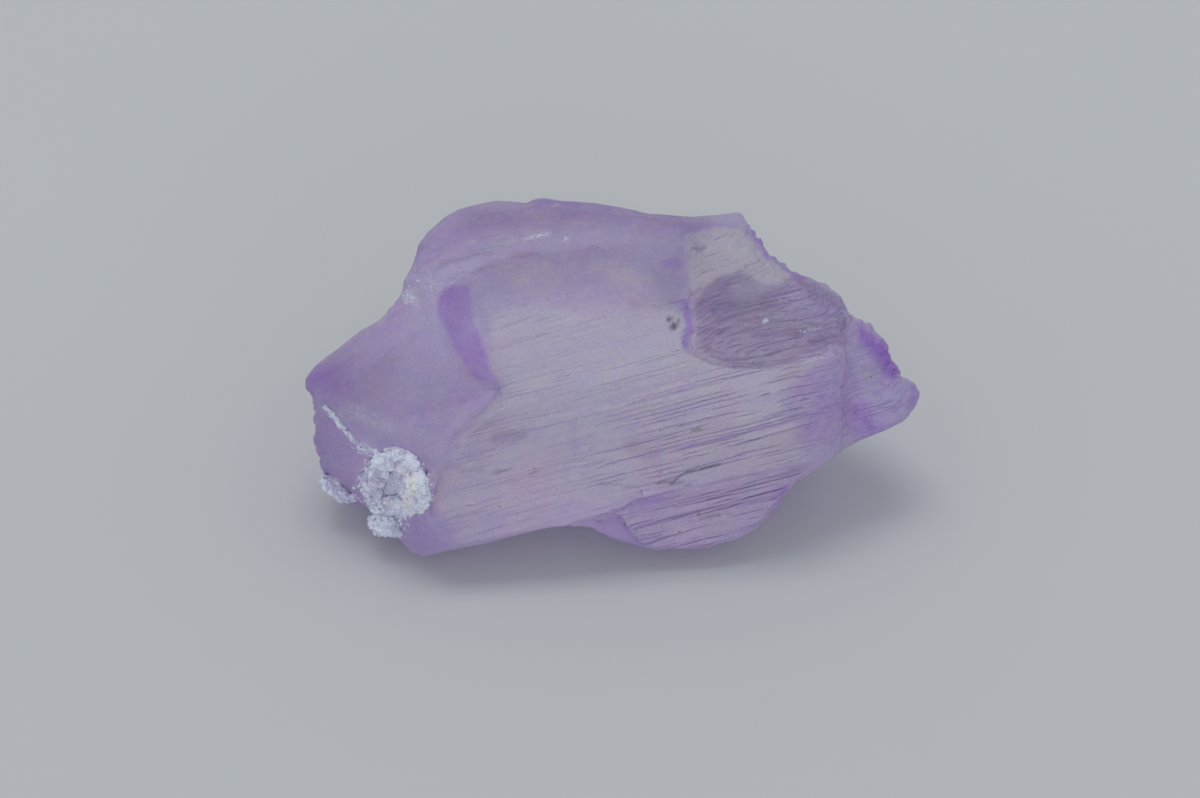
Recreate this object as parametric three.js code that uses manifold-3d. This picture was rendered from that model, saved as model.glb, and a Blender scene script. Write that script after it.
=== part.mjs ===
// A rough piece of kunzite, the lilac variety of spodumene: one broken and naturally etched crystal
// with crusts of white feldspar left on its lower left end. Sizes are in millimetres.
//
// The crystal is drawn as seen square on to its broad front: x runs along its length to the right,
// y up across the front and z out of it. A group then leans that front back and stands the stone
// on the flat cleavage of its underside, with z up and the centre of its footprint at the origin.
import * as THREE from "three";
import { mergeVertices } from "three/addons/utils/BufferGeometryUtils.js";
import { ImprovedNoise } from "three/addons/math/ImprovedNoise.js";
import Module from "manifold-3d";

// How the stone stands
const FRONT_LEAN = THREE.MathUtils.degToRad(52); // turn about x that lays the front back
const REST_DEPTH = 10.4; // from the drawing's centre down to the surface it stands on

// The unworked lump that the faces are cut from
const HEART = new THREE.Vector2(-0.9, -0.3); // every point of the outline can be seen from here
const FRONT_BULGE = 6.6; // of the lump in front of its rim
const BACK_BULGE = 11.2; // of the lump behind its rim
const LUMP_RINGS = 20;
const RIM_FULLNESS = 0.5; // the smaller, the blunter the rim
const CROWN_FULLNESS = 0.8; // the smaller, the flatter the middle
const LOWER_EDGE_LIFT = 1.7; // of the rim along the bottom, towards the front
const SWELL_SIZE = 6.5; // length of a swelling of the skin
const SWELL_HEIGHT = 0.45;

// The grain: striations and cleavages run along the crystal's long axis
const GRAIN = new THREE.Vector3(Math.cos(0.235), Math.sin(0.235), 0.02).normalize();
const RIB_WIDTH = 0.95; // mean width of a growth rib
const RIB_DEPTH = 0.16; // the most that one rib stands above another
const REACH = 70; // longer than the stone, for cutters that pass right through it
const SEAT_GAP = 0.1; // between a crust and the pocket it sits in
const SEAT_SINK = 0.25; // share of its thickness that a crust's middle lies below the skin

// The outline of the broad front, clockwise from the left tip
const OUTLINE = [
  // left tip and upper left shoulder
  [-23.1, -0.2], [-22.4, 0.7], [-20.6, 2.1], [-18.9, 3.4], [-17.7, 4.0], [-17.0, 4.4],
  [-16.2, 5.2], [-15.7, 6.3], [-15.6, 7.3], [-15.0, 8.2], [-14.7, 9.0], [-14.5, 9.8],
  [-13.8, 10.9], [-12.4, 12.0], [-11.1, 12.6], [-8.8, 13.1], [-7.0, 13.0], [-6.4, 12.9],
  // top edge
  [-5.9, 13.2], [-5.2, 13.4], [-4.0, 13.2], [-1.8, 13.0], [0.4, 12.7], [2.7, 12.2],
  [4.6, 12.0], [6.5, 12.0], [8.2, 12.3], [9.4, 12.5], [9.9, 12.3], [10.3, 11.5], [10.5, 10.8],
  // ragged upper right edge
  [10.9, 10.2], [11.3, 9.7], [11.3, 9.1], [12.0, 8.7], [12.7, 8.3], [13.2, 7.8],
  [14.0, 7.5], [15.1, 7.2], [16.2, 6.7], [17.2, 5.9], [17.4, 5.0], [17.6, 4.2],
  // two knobs of the right end
  [18.3, 3.8], [19.3, 3.3], [20.1, 2.5], [20.7, 1.6], [21.2, 0.9], [21.6, 0.4],
  [21.3, 0.0], [21.9, -0.2], [22.7, -0.6], [23.1, -1.3], [23.0, -2.1], [22.3, -3.1],
  [21.5, -3.7], [19.9, -4.4], [18.3, -5.0], [17.4, -5.5],
  // fin of the lower right
  [16.4, -6.3], [14.8, -7.1], [13.9, -7.6], [13.4, -8.4], [12.6, -9.6], [11.7, -10.8],
  [10.6, -11.6], [9.1, -12.3], [7.1, -12.8], [4.9, -12.9], [3.0, -12.9], [1.7, -12.6],
  [0.1, -12.1], [-1.2, -11.4], [-1.9, -11.1],
  // shallow arch and left foot
  [-2.8, -11.1], [-3.7, -11.0], [-5.0, -11.3], [-7.0, -11.8], [-9.5, -12.5],
  [-11.4, -12.9], [-13.3, -13.3], [-14.3, -13.5], [-15.1, -13.2], [-15.9, -12.4],
  // lower left end
  [-16.5, -11.7], [-17.4, -11.3], [-17.8, -10.8], [-17.5, -10.1], [-18.2, -9.8],
  [-19.1, -9.6], [-20.3, -9.6], [-21.3, -9.1], [-21.9, -8.2], [-22.1, -7.0],
  [-22.0, -5.7], [-22.4, -5.0], [-22.1, -4.1], [-22.3, -3.4], [-22.1, -2.6],
  [-22.4, -1.6], [-23.0, -0.9],
].map(([x, y]) => new THREE.Vector2(x, y));

const wasm = await Module();
wasm.setup();
const swell = new ImprovedNoise();

/** A closed geometry as a solid that can be joined and cut. */
function solidOf(geometry) {
  const bare = geometry.clone();
  bare.deleteAttribute("normal");
  bare.deleteAttribute("uv");
  const welded = mergeVertices(bare, 1e-4);
  return new wasm.Manifold(
    new wasm.Mesh({
      numProp: 3,
      vertProperties: welded.attributes.position.array,
      triVerts: new Uint32Array(welded.index.array),
    }),
  );
}

/** A solid as a flat shaded geometry. */
function geometryOf(solid) {
  const mesh = solid.getMesh();
  const geometry = new THREE.BufferGeometry();
  geometry.setAttribute("position", new THREE.BufferAttribute(mesh.vertProperties, mesh.numProp));
  geometry.setIndex(new THREE.BufferAttribute(mesh.triVerts, 1));
  const faceted = geometry.toNonIndexed();
  faceted.computeVertexNormals();
  return faceted;
}

/** How far the skin stands out at a point, in long low swellings that follow the grain. */
function swellAt(point, size, height) {
  const along = point.dot(GRAIN);
  const stretched = point.clone().addScaledVector(GRAIN, -0.55 * along).divideScalar(size);
  return height * swell.noise(stretched.x + 7.3, stretched.y - 2.1, stretched.z + 4.7);
}

/** The outline with its notches evened out, as it is away from the rim. */
function evenedOutline(span) {
  return OUTLINE.map((_, i) => {
    const mean = new THREE.Vector2();
    for (let k = -span; k <= span; k++) mean.add(OUTLINE.at((i + k) % OUTLINE.length));
    return mean.divideScalar(2 * span + 1);
  });
}

/** The lump: a blunt pebble with the outline for its rim, poles in front and behind. */
function lump() {
  const evened = evenedOutline(4);
  const around = OUTLINE.length;
  const geometry = new THREE.SphereGeometry(1, around, LUMP_RINGS);
  const position = geometry.attributes.position;
  for (let ring = 0; ring <= LUMP_RINGS; ring++) {
    const latitude = Math.PI * (ring / LUMP_RINGS - 0.5); // from the back pole to the front one
    const rise = Math.sin(latitude);
    const inset = Math.max(Math.cos(latitude), 0) ** RIM_FULLNESS;
    const bulge = rise > 0 ? FRONT_BULGE : BACK_BULGE;
    for (let i = 0; i <= around; i++) {
      const spoke = OUTLINE[i % around].clone();
      spoke.lerp(evened[i % around], Math.min(1, 2.2 * Math.abs(rise)));
      spoke.sub(HEART).multiplyScalar(inset).add(HEART);
      const height = Math.sign(rise) * bulge * Math.abs(rise) ** CROWN_FULLNESS;
      const point = new THREE.Vector3(spoke.x, spoke.y, height + rimDepth(spoke));
      const away = new THREE.Vector3(spoke.x - HEART.x, spoke.y - HEART.y, 3 * height).normalize();
      point.addScaledVector(away, Math.abs(rise) * swellAt(point, SWELL_SIZE, SWELL_HEIGHT));
      position.setXYZ(ring * (around + 1) + i, point.x, point.y, point.z);
    }
  }
  return solidOf(geometry);
}

/** How far the rim lies in front of the drawing's plane: the top lies back, the bottom edge forward. */
function rimDepth(spoke) {
  const lowerEdge = THREE.MathUtils.smoothstep(-spoke.y, 8, 12.5);
  return -0.6 - 0.08 * spoke.y - 0.03 * spoke.x + LOWER_EDGE_LIFT * lowerEdge;
}

/** A prism that stands on a closed smooth or straight outline, from one height to another. */
function prism(points, bottom, top, smooth = true) {
  const corners = points.map(([x, y]) => new THREE.Vector2(x, y));
  const shape = new THREE.Shape();
  if (smooth) shape.setFromPoints(new THREE.SplineCurve(corners).getPoints(corners.length * 4));
  else shape.setFromPoints(corners);
  const settings = { depth: top - bottom, bevelEnabled: false };
  return solidOf(new THREE.ExtrudeGeometry(shape, settings).translate(0, 0, bottom));
}

/** Everything in front of a striated face: flat terraces of uneven width, straight along the grain. */
function striatedCutter({ at, facing, ribDepth = RIB_DEPTH, ribWidth = RIB_WIDTH, seed }) {
  const normal = new THREE.Vector3(...facing).normalize();
  const along = GRAIN.clone().addScaledVector(normal, -GRAIN.dot(normal)).normalize();
  const across = normal.clone().cross(along);
  THREE.MathUtils.seededRandom(seed);
  const shape = new THREE.Shape().moveTo(-REACH / 2, 0);
  let from = -REACH / 2;
  while (from < REACH / 2) {
    const width = ribWidth * (0.35 + 1.3 * THREE.MathUtils.seededRandom());
    const height = ribDepth * (THREE.MathUtils.seededRandom() - 0.5);
    shape.lineTo(from + 0.12 * width, height);
    shape.lineTo(from + width, height);
    from += width;
  }
  shape.lineTo(from, REACH / 2).lineTo(-REACH / 2, REACH / 2);
  const geometry = new THREE.ExtrudeGeometry(shape, { depth: REACH, bevelEnabled: false });
  geometry.translate(0, 0, -REACH / 2);
  geometry.applyMatrix4(new THREE.Matrix4().makeBasis(across, normal, along).setPosition(...at));
  return solidOf(geometry);
}

/** An ellipsoid with its first radius turned up from the stone's length in the plane of the front. */
function ellipsoid({ at, radii, turn = 0 }) {
  const placed = new THREE.Matrix4().makeRotationZ(turn).scale(new THREE.Vector3(...radii));
  placed.setPosition(...at);
  const around = Math.round(10 + 1.6 * Math.max(...radii));
  return solidOf(new THREE.SphereGeometry(1, around, Math.round(0.6 * around)).applyMatrix4(placed));
}

/** The broad front: a striated cleavage face that stops at the left lobe and under the top rim. */
function cutBroadFront(stone) {
  const field = prism(
    [
      [-14.2, -16], [-13.4, -9.9], [-12.5, -7.0], [-11.7, -4.8], [-10.4, -3.2], [-8.9, -2.0],
      [-8.2, -0.8], [-8.5, 0.2], [-9.7, 1.4], [-10.7, 2.9], [-11.3, 4.6], [-11.4, 6.4],
      [-10.8, 7.8], [-9.2, 8.8], [-5.4, 9.4], [-0.9, 9.9], [2.8, 9.9], [5.8, 10.1], [9.6, 10.9],
      [14, 11.5], [27, 11], [27, -16],
    ],
    -2, 20,
  );
  const face = striatedCutter({ at: [0, 0, 4.4], facing: [0.02, 0.03, 1], seed: 11 });
  return stone.subtract(face.intersect(field));
}

/** A round bar along a curve, which leaves a cove where it is cut away. */
function bar(points, radius) {
  const section = new THREE.Shape().absarc(0, 0, radius, 0, 2 * Math.PI);
  const path = new THREE.CatmullRomCurve3(points.map((point) => new THREE.Vector3(...point)));
  return solidOf(new THREE.ExtrudeGeometry(section, { extrudePath: path, steps: 18, curveSegments: 14 }));
}

/** The bevel of the top rim, the broad shallow hollow below it and the cove under the lobe's edge. */
function cutUpperHollows(stone) {
  const topBand = striatedCutter({ at: [-2, 11.3, 2.4], facing: [-0.04, 0.5, 0.86], seed: 61 });
  const cove = bar(
    [
      [-10.9, 7.9, 6.9], [-10.3, 6.0, 6.5], [-10.2, 4.4, 6.5],
      [-9.9, 2.9, 6.6], [-9.2, 1.4, 6.9], [-8.2, 0.2, 7.6],
    ],
    2.4,
  );
  return stone
    .subtract(topBand)
    .subtract(ellipsoid({ at: [-2.2, 6.8, 8.2], radii: [14.0, 6.4, 4.8], turn: 0.04 }))
    .subtract(cove);
}

/** The clear corner of the upper right, a step down, and the streaked scoop below it. */
function cutRightCorner(stone) {
  const field = prism(
    [[5.8, 2.0], [5.6, 6.0], [5.8, 9.4], [6.8, 10.5], [10.5, 11.4], [20, 12], [27, 3.0]],
    -2, 20, false,
  );
  const corner = striatedCutter({ at: [9, 8, 2.4], facing: [0.14, 0.2, 1], ribDepth: 0.08, seed: 5 });
  return stone
    .subtract(corner.intersect(field))
    .subtract(ellipsoid({ at: [11.7, 4.9, 4.9], radii: [6.8, 2.9, 3.2], turn: 0.1 }))
    .subtract(ellipsoid({ at: [11.8, 3.4, 5.1], radii: [7.1, 2.9, 3.3], turn: 0.12 }));
}

/** The fin of the lower right, a step below the front face, and the heel set back at its left. */
function cutLowerFin(stone) {
  const finField = prism(
    [[3.2, -16], [2.4, -12.7], [0.4, -10.3], [1.6, -9.2], [14.9, -6.3], [20, -5.2], [20, -16]],
    -6, 20, false,
  );
  const heelField = prism(
    [[-4.0, -16], [-3.9, -11.2], [-2.6, -10.7], [0.4, -10.1], [0.6, -10.6], [2.6, -12.9], [3.2, -16]],
    -6, 20, false,
  );
  const fin = striatedCutter({ at: [1.6, -9.9, 3.4], facing: [0.06, -0.16, 0.98], seed: 23, ribWidth: 0.6 });
  const heel = striatedCutter({ at: [0, -11.5, 1.9], facing: [-0.22, -0.36, 0.9], seed: 3 });
  return stone.subtract(fin.intersect(finField)).subtract(heel.intersect(heelField));
}

/** Two open cracks along the grain in the lower part of the broad front. */
function cutCracks(stone) {
  return stone
    .subtract(ellipsoid({ at: [5.9, -7.0, 5.4], radii: [3.0, 0.2, 1.1], turn: 0.27 }))
    .subtract(ellipsoid({ at: [2.3, -8.0, 5.5], radii: [1.7, 0.18, 0.9], turn: 0.12 }));
}

/** The right end: a ledge lower than the broad front that carries two knobs parted by a notch. */
function shapeRightEnd(stone) {
  const field = prism(
    [
      [18.0, 9], [17.5, 5.4], [17.2, 3.4], [17.5, 1.0], [16.9, -1.4], [17.1, -3.6],
      [16.0, -6.0], [15.6, -9], [27, -9], [27, 9],
    ],
    -2, 20, false,
  );
  const ledge = striatedCutter({ at: [18, -1, 1.3], facing: [0.34, 0.1, 1], seed: 31 });
  return stone
    .subtract(ledge.intersect(field))
    .add(ellipsoid({ at: [17.9, 2.0, -0.4], radii: [3.3, 2.2, 2.0], turn: -0.6 }))
    .add(ellipsoid({ at: [18.4, -2.1, -0.9], radii: [4.5, 2.2, 2.4], turn: 0.06 }))
    .subtract(ellipsoid({ at: [22.6, 0.1, 0.6], radii: [1.9, 0.6, 1.8], turn: -0.08 }));
}

/** The left end: a sloping face on the lobe and a steeper one below the ridge that ends at the tip. */
function cutLeftEnd(stone) {
  const field = prism(
    [[-27, -16], [-27, 16], [-15.4, 12], [-12.6, 3.5], [-9, -1.5], [-9, -16]],
    -6, 20, false,
  );
  const ribDepth = 0.1;
  const lobe = striatedCutter({ at: [-14.5, 0.5, 5.2], facing: [-0.24, 0.02, 1], ribDepth, seed: 41 });
  const end = striatedCutter({ at: [-19.4, -4.4, 3.3], facing: [-0.62, -0.42, 0.62], ribDepth, seed: 17 });
  const shoulder = striatedCutter({ at: [-13.2, 8.8, 3.1], facing: [-0.52, 0.42, 0.74], ribDepth, seed: 19 });
  return stone.subtract(lobe.intersect(field)).subtract(end).subtract(shoulder);
}

/** The hidden back: three striated prism faces and three shell-shaped breaks at the right. */
function cutBack(stone) {
  return stone
    .subtract(striatedCutter({ at: [0, 2, -10.0], facing: [0.02, -0.1, -1], seed: 51 }))
    .subtract(striatedCutter({ at: [0, 9.4, -6.6], facing: [-0.06, 0.78, -0.72], seed: 53, ribWidth: 1.3 }))
    .subtract(striatedCutter({ at: [-17.5, 1, -7.4], facing: [-0.8, 0.16, -0.62], seed: 57, ribWidth: 1.3 }))
    .subtract(ellipsoid({ at: [17.5, 8.2, -9.6], radii: [11, 6.4, 6.6], turn: 0.2 }))
    .subtract(ellipsoid({ at: [10.5, 11.5, -14.2], radii: [10.5, 9, 11.4], turn: 0.2 }))
    .subtract(ellipsoid({ at: [20.5, -3.2, -10.2], radii: [7.6, 6.2, 6.0], turn: -0.1 }));
}

/** The underside: cut along the flat cleavage that the stone stands on, hollowed under its arch. */
function cutUnderside(stone) {
  const table = new THREE.BoxGeometry(REACH, REACH, REACH).translate(0, 0, -REST_DEPTH - REACH / 2);
  const arch = ellipsoid({ at: [-4.6, -13.4, -3.6], radii: [5.6, 2.7, 6.4] });
  return stone.subtract(solidOf(table.rotateX(-FRONT_LEAN))).subtract(arch);
}

/** Where the line through a point of the drawing, square to the front, meets the stone's skin. */
function skinAt(skin, x, y) {
  const ray = new THREE.Raycaster(new THREE.Vector3(x, y, REACH), new THREE.Vector3(0, 0, -1));
  return ray.intersectObject(skin)[0].point;
}

/** One lump of a crust, pressed into the skin: an ellipsoid with pitted sides, or its pocket. */
function nodule(skin, facing, { x, y, radii, turn = 0 }, isPocket) {
  const out = new THREE.Vector3(...facing).normalize();
  const along = new THREE.Vector3(Math.cos(turn), Math.sin(turn), 0);
  along.addScaledVector(out, -along.dot(out)).normalize();
  const geometry = new THREE.IcosahedronGeometry(1, 2);
  const position = geometry.attributes.position;
  const point = new THREE.Vector3();
  for (let i = 0; i < position.count && !isPocket; i++) {
    point.fromBufferAttribute(position, i);
    point.multiplyScalar(0.92 + 0.08 * swell.noise(2.4 * point.x + x, 2.4 * point.y + y, 2.4 * point.z));
    position.setXYZ(i, point.x, point.y, point.z);
  }
  const margin = isPocket ? SEAT_GAP : 0;
  const placed = new THREE.Matrix4().makeBasis(along, out.clone().cross(along), out);
  placed.scale(new THREE.Vector3(...radii.map((radius) => radius + margin)));
  placed.setPosition(skinAt(skin, x, y).addScaledVector(out, -SEAT_SINK * radii[2]));
  return solidOf(geometry.applyMatrix4(placed));
}

/** The lumps of a crust joined in one solid, or the pocket that it sits in. */
function crust(skin, { facing, lumps }, isPocket = false) {
  const solids = lumps.map((lump) => nodule(skin, facing, lump, isPocket));
  return solids.reduce((whole, solid) => whole.add(solid));
}

/** The stone without the chips that a cut leaves loose. */
function largestBody(solid) {
  return solid.decompose().reduce((one, other) => (other.volume() > one.volume() ? other : one));
}

// Crusts of white feldspar: each a run of lumps at points of the drawing
const CRUSTS = {
  // a ring round a small window of bare crystal
  feldspar_crust_ring: {
    facing: [-0.64, -0.36, 0.68],
    lumps: [
      { x: -14.6, y: -8.5, radii: [1.7, 1.2, 0.75], turn: 1.4 },
      { x: -15.7, y: -9.5, radii: [2.1, 0.8, 0.65], turn: 0.4 },
      { x: -17.7, y: -8.6, radii: [1.7, 1.0, 0.6], turn: 1.8 },
      { x: -17.3, y: -6.9, radii: [1.6, 0.9, 0.55], turn: 0.8 },
      { x: -15.5, y: -6.5, radii: [2.0, 0.9, 0.7], turn: -0.15 },
    ],
  },
  feldspar_crust_foot: {
    facing: [-0.5, -0.6, 0.6],
    lumps: [
      { x: -16.9, y: -11.1, radii: [1.3, 0.8, 0.6], turn: 0.6 },
    ],
  },
  feldspar_crust_corner: {
    facing: [-0.6, -0.5, 0.6],
    lumps: [
      { x: -20.7, y: -8.5, radii: [1.5, 0.8, 0.65], turn: -0.4 },
    ],
  },
  feldspar_vein: {
    facing: [-0.4, -0.2, 0.9],
    lumps: [
      { x: -20.1, y: -3.6, radii: [2.3, 0.3, 0.35], turn: -0.8 },
    ],
  },
};

const kunzite = new THREE.MeshStandardMaterial({ color: 0xb9a6d8, roughness: 0.42, metalness: 0 });
const feldspar = new THREE.MeshStandardMaterial({ color: 0xdcdfe2, roughness: 0.95, metalness: 0 });

const cuts = [
  cutBroadFront, cutUpperHollows, cutRightCorner, cutLowerFin, cutCracks, shapeRightEnd,
  cutLeftEnd, cutBack, cutUnderside,
];
const bareCrystal = cuts.reduce((solid, cut) => cut(solid), lump());
const skin = new THREE.Mesh(geometryOf(bareCrystal), kunzite);

const stone = new THREE.Group();
stone.rotation.x = FRONT_LEAN;
stone.position.z = REST_DEPTH;

let crystal = bareCrystal;
for (const [name, seat] of Object.entries(CRUSTS)) {
  crystal = crystal.subtract(crust(skin, seat, true));
  const mesh = new THREE.Mesh(geometryOf(crust(skin, seat)), feldspar);
  mesh.name = name;
  stone.add(mesh);
}
const crystalMesh = new THREE.Mesh(geometryOf(largestBody(crystal)), kunzite);
crystalMesh.name = "kunzite_crystal";
stone.add(crystalMesh);
const extent = new THREE.Box3().setFromObject(stone, true);
stone.position.x -= (extent.min.x + extent.max.x) / 2;
stone.position.y -= (extent.min.y + extent.max.y) / 2;

const specimen = new THREE.Group();
specimen.add(stone);
export default specimen;
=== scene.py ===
"""The looks of a rough piece of kunzite: a see-through lilac crystal with an etched skin and a chalky crust.

The crystal and each crust start as a copy of the solid that the frame holds. A fine even mesh is drawn over
it, worn smooth, and carved with the relief of the real skin. Places on the stone are given in the drawing:
the stone seen square on to its broad front, in millimetres, x along its length, y up and z out of it.
"""

import logging
import math
from dataclasses import dataclass
from enum import Enum
from itertools import combinations

import bpy
import numpy as np
from bpy.types import Material, Node, NodeSocket, NodeTree, Object
from mathutils import Matrix, Vector, noise
from mathutils.bvhtree import BVHTree


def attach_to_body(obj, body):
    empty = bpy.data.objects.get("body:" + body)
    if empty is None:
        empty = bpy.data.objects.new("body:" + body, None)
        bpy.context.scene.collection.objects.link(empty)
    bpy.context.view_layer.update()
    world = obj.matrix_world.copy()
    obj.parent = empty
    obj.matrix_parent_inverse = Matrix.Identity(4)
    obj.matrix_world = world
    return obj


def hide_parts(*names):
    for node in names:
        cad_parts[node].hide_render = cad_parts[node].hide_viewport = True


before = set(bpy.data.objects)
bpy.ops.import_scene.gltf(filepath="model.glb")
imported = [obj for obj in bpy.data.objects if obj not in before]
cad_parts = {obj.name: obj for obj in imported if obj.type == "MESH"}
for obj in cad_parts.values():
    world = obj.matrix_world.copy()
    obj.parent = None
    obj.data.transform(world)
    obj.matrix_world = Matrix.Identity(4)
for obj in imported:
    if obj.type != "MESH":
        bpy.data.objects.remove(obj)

MM = 0.001
BODY = "root"
log = logging.getLogger("kunzite")

Array = np.ndarray
Triple = tuple[float, float, float]
Colour = Triple
Path = tuple[tuple[float, float], ...]


class Attribute(str, Enum):
    """What each point of a mesh carries for its material."""

    PLACE = "grain_place"
    VIOLET = "violet"
    DARK_AND_SHADE = "dark_and_shade"
    RIBBED = "ribbed"
    CHALK_AND_GLINT = "chalk_and_glint"
    SPECK = "speck"
    STAIN = "stain"
    SHADE = "shade"


@dataclass(frozen=True)
class Drawing:
    """How the drawing of the stone lies in the frame.

    Attributes:
        lean: Turn about x that lays the front back, in radians.
        rest_depth: From its centre down to the surface the stone stands on, in millimetres.
        forward: Shift of its centre along y, in millimetres.
        grain_turn: The crystal's long axis, turned up from x in the plane of the front, in radians.
    """

    lean: float = math.radians(52.0)
    rest_depth: float = 10.4
    forward: float = -0.154
    grain_turn: float = 0.235

    @property
    def centre(self) -> Vector:
        """Its centre in the frame, in metres."""
        return Vector((0.0, self.forward * MM, self.rest_depth * MM))

    @property
    def axes(self) -> Matrix:
        """Its x, y and z as the columns of a turn in the frame."""
        return Matrix.Rotation(self.lean, 3, "X")

    @property
    def grain(self) -> Array:
        """The turn that lays a row of the drawing along the grain, x first."""
        c, s = math.cos(self.grain_turn), math.sin(self.grain_turn)
        return np.array([[c, -s, 0.0], [s, c, 0.0], [0.0, 0.0, 1.0]])

    def from_frame(self, points: Array) -> Array:
        """Takes points of the frame, in metres, into the drawing."""
        return (points - np.array(self.centre)) @ np.array(self.axes) / MM

    def to_frame(self, points: Array) -> Array:
        """Takes points of the drawing into the frame, in metres."""
        return points @ np.array(self.axes).T * MM + np.array(self.centre)


DRAWING = Drawing()


def smooth_step(values: Array, low: float, high: float) -> Array:
    """Rises smoothly from 0 at low to 1 at high, or falls where high is below low."""
    t = np.clip((values - low) / (high - low), 0.0, 1.0)
    return t * t * (3.0 - 2.0 * t)


def noise_at(points: Array, size: float | Triple, seed: float) -> Array:
    """Smooth noise from about -1 to 1 at each point, of one size or a size for each axis."""
    rows = (points / size + (seed, 2.0 * seed, 0.5 * seed)).tolist()
    return np.fromiter((noise.noise(row) for row in rows), float, len(rows))


def cells_at(points: Array, size: float | Triple, seed: float) -> tuple[Array, Array]:
    """How far each point is from the middle of its cell, in a pattern of uneven cells.

    Args:
        points: One row for each point.
        size: How far apart the cells are, for each axis if they differ.
        seed: Which pattern.

    Returns:
        The distances in cells, from 0 to about 1, and how much nearer that middle is than the next.
    """
    rows = (points / size + (seed, 2.0 * seed, 0.5 * seed)).tolist()
    found = np.array([noise.voronoi(row)[0][:2] for row in rows])
    return found[:, 0], found[:, 1] - found[:, 0]


def in_ledges(values: Array, edge: float) -> Array:
    """Turns a slope into flat ledges one unit apart, whose steep edges take a share of a unit."""
    floor = np.floor(values)
    return floor + smooth_step(values - floor, 0.5 - 0.5 * edge, 0.5 + 0.5 * edge)


def distance_to_path(points: Array, path: Path) -> Array:
    """How far each point of the drawing is from a path on the front, seen square on.

    Args:
        points: One row for each point.
        path: The path's corners, or a single place.

    Returns:
        Distances in millimetres.
    """
    flat = points[:, :2]
    corners = np.array(path, float)
    best = np.linalg.norm(flat - corners[0], axis=1)
    for start, end in zip(corners[:-1], corners[1:]):
        step = end - start
        share = np.clip((flat - start) @ step / (step @ step), 0.0, 1.0)
        best = np.minimum(best, np.linalg.norm(flat - start - share[:, None] * step, axis=1))
    return best


def is_inside(points: Array, outline: Path) -> Array:
    """Whether each point of the drawing is inside an outline on the front, seen square on.

    Args:
        points: One row for each point.
        outline: The outline's corners in order.

    Returns:
        True or False for each point.
    """
    x, y = points[:, 0], points[:, 1]
    inside = np.zeros(len(points), bool)
    for (x0, y0), (x1, y1) in zip(outline, outline[1:] + outline[:1]):
        if y0 != y1:
            crosses = (y0 > y) != (y1 > y)
            inside ^= crosses & (x < x0 + (y - y0) * (x1 - x0) / (y1 - y0))
    return inside


@dataclass(frozen=True)
class Mark:
    """A place on the front, drawn with a level of its own.

    Attributes:
        path: The corners of its outline or of its middle line, in millimetres.
        level: The level that it is given.
        fade: Width over which it fades out, in millimetres.
        reach: How far it spreads from the path, in millimetres.
        closed: Whether the path is an outline.
    """

    path: Path
    level: float
    fade: float
    reach: float = 0.0
    closed: bool = False

    def at(self, points: Array) -> Array:
        """How fully each point is in the place.

        Args:
            points: Points of the drawing.

        Returns:
            From 0 to 1 for each point.
        """
        distance = distance_to_path(points, self.path + self.path[:1] if self.closed else self.path)
        if self.closed:
            distance = np.where(is_inside(points, self.path), -distance, distance)
        return smooth_step(distance - self.reach, 0.5 * self.fade, -0.5 * self.fade)


Marks = tuple[Mark, ...]


def area(level: float, fade: float, *outline: tuple[float, float]) -> Mark:
    """A mark that fills an outline."""
    return Mark(outline, level, fade, closed=True)


def band(level: float, reach: float, fade: float, *path: tuple[float, float]) -> Mark:
    """A mark that follows a line."""
    return Mark(path, level, fade, reach)


def levels_of(marks: Marks, points: Array, ground: float) -> Array:
    """Lays marks over a ground, one over the other.

    Args:
        marks: The marks in order.
        points: Points of the drawing.
        ground: The level away from every mark.

    Returns:
        One level for each point.
    """
    levels = np.zeros(len(points)) + ground
    for mark in marks:
        levels += (mark.level - levels) * mark.at(points)
    return levels


def solid_of(node: str) -> tuple[Array, Array]:
    """A solid of the frame as plain rows.

    Args:
        node: Its name.

    Returns:
        Its points in the drawing, and its triangles.
    """
    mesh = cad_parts[node].data
    mesh.calc_loop_triangles()
    places = np.zeros(len(mesh.vertices) * 3)
    mesh.vertices.foreach_get("co", places)
    triangles = np.zeros(len(mesh.loop_triangles) * 3, np.int64)
    mesh.loop_triangles.foreach_get("vertices", triangles)
    return DRAWING.from_frame(places.reshape(-1, 3)), triangles.reshape(-1, 3)


def put_in_scene(name: str, data: bpy.types.ID) -> Object:
    """Puts a new object in the scene.

    Args:
        name: Its name.
        data: Its mesh, lamp or camera.

    Returns:
        The object.
    """
    made = bpy.data.objects.new(name, data)
    bpy.context.scene.collection.objects.link(made)
    return made


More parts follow.
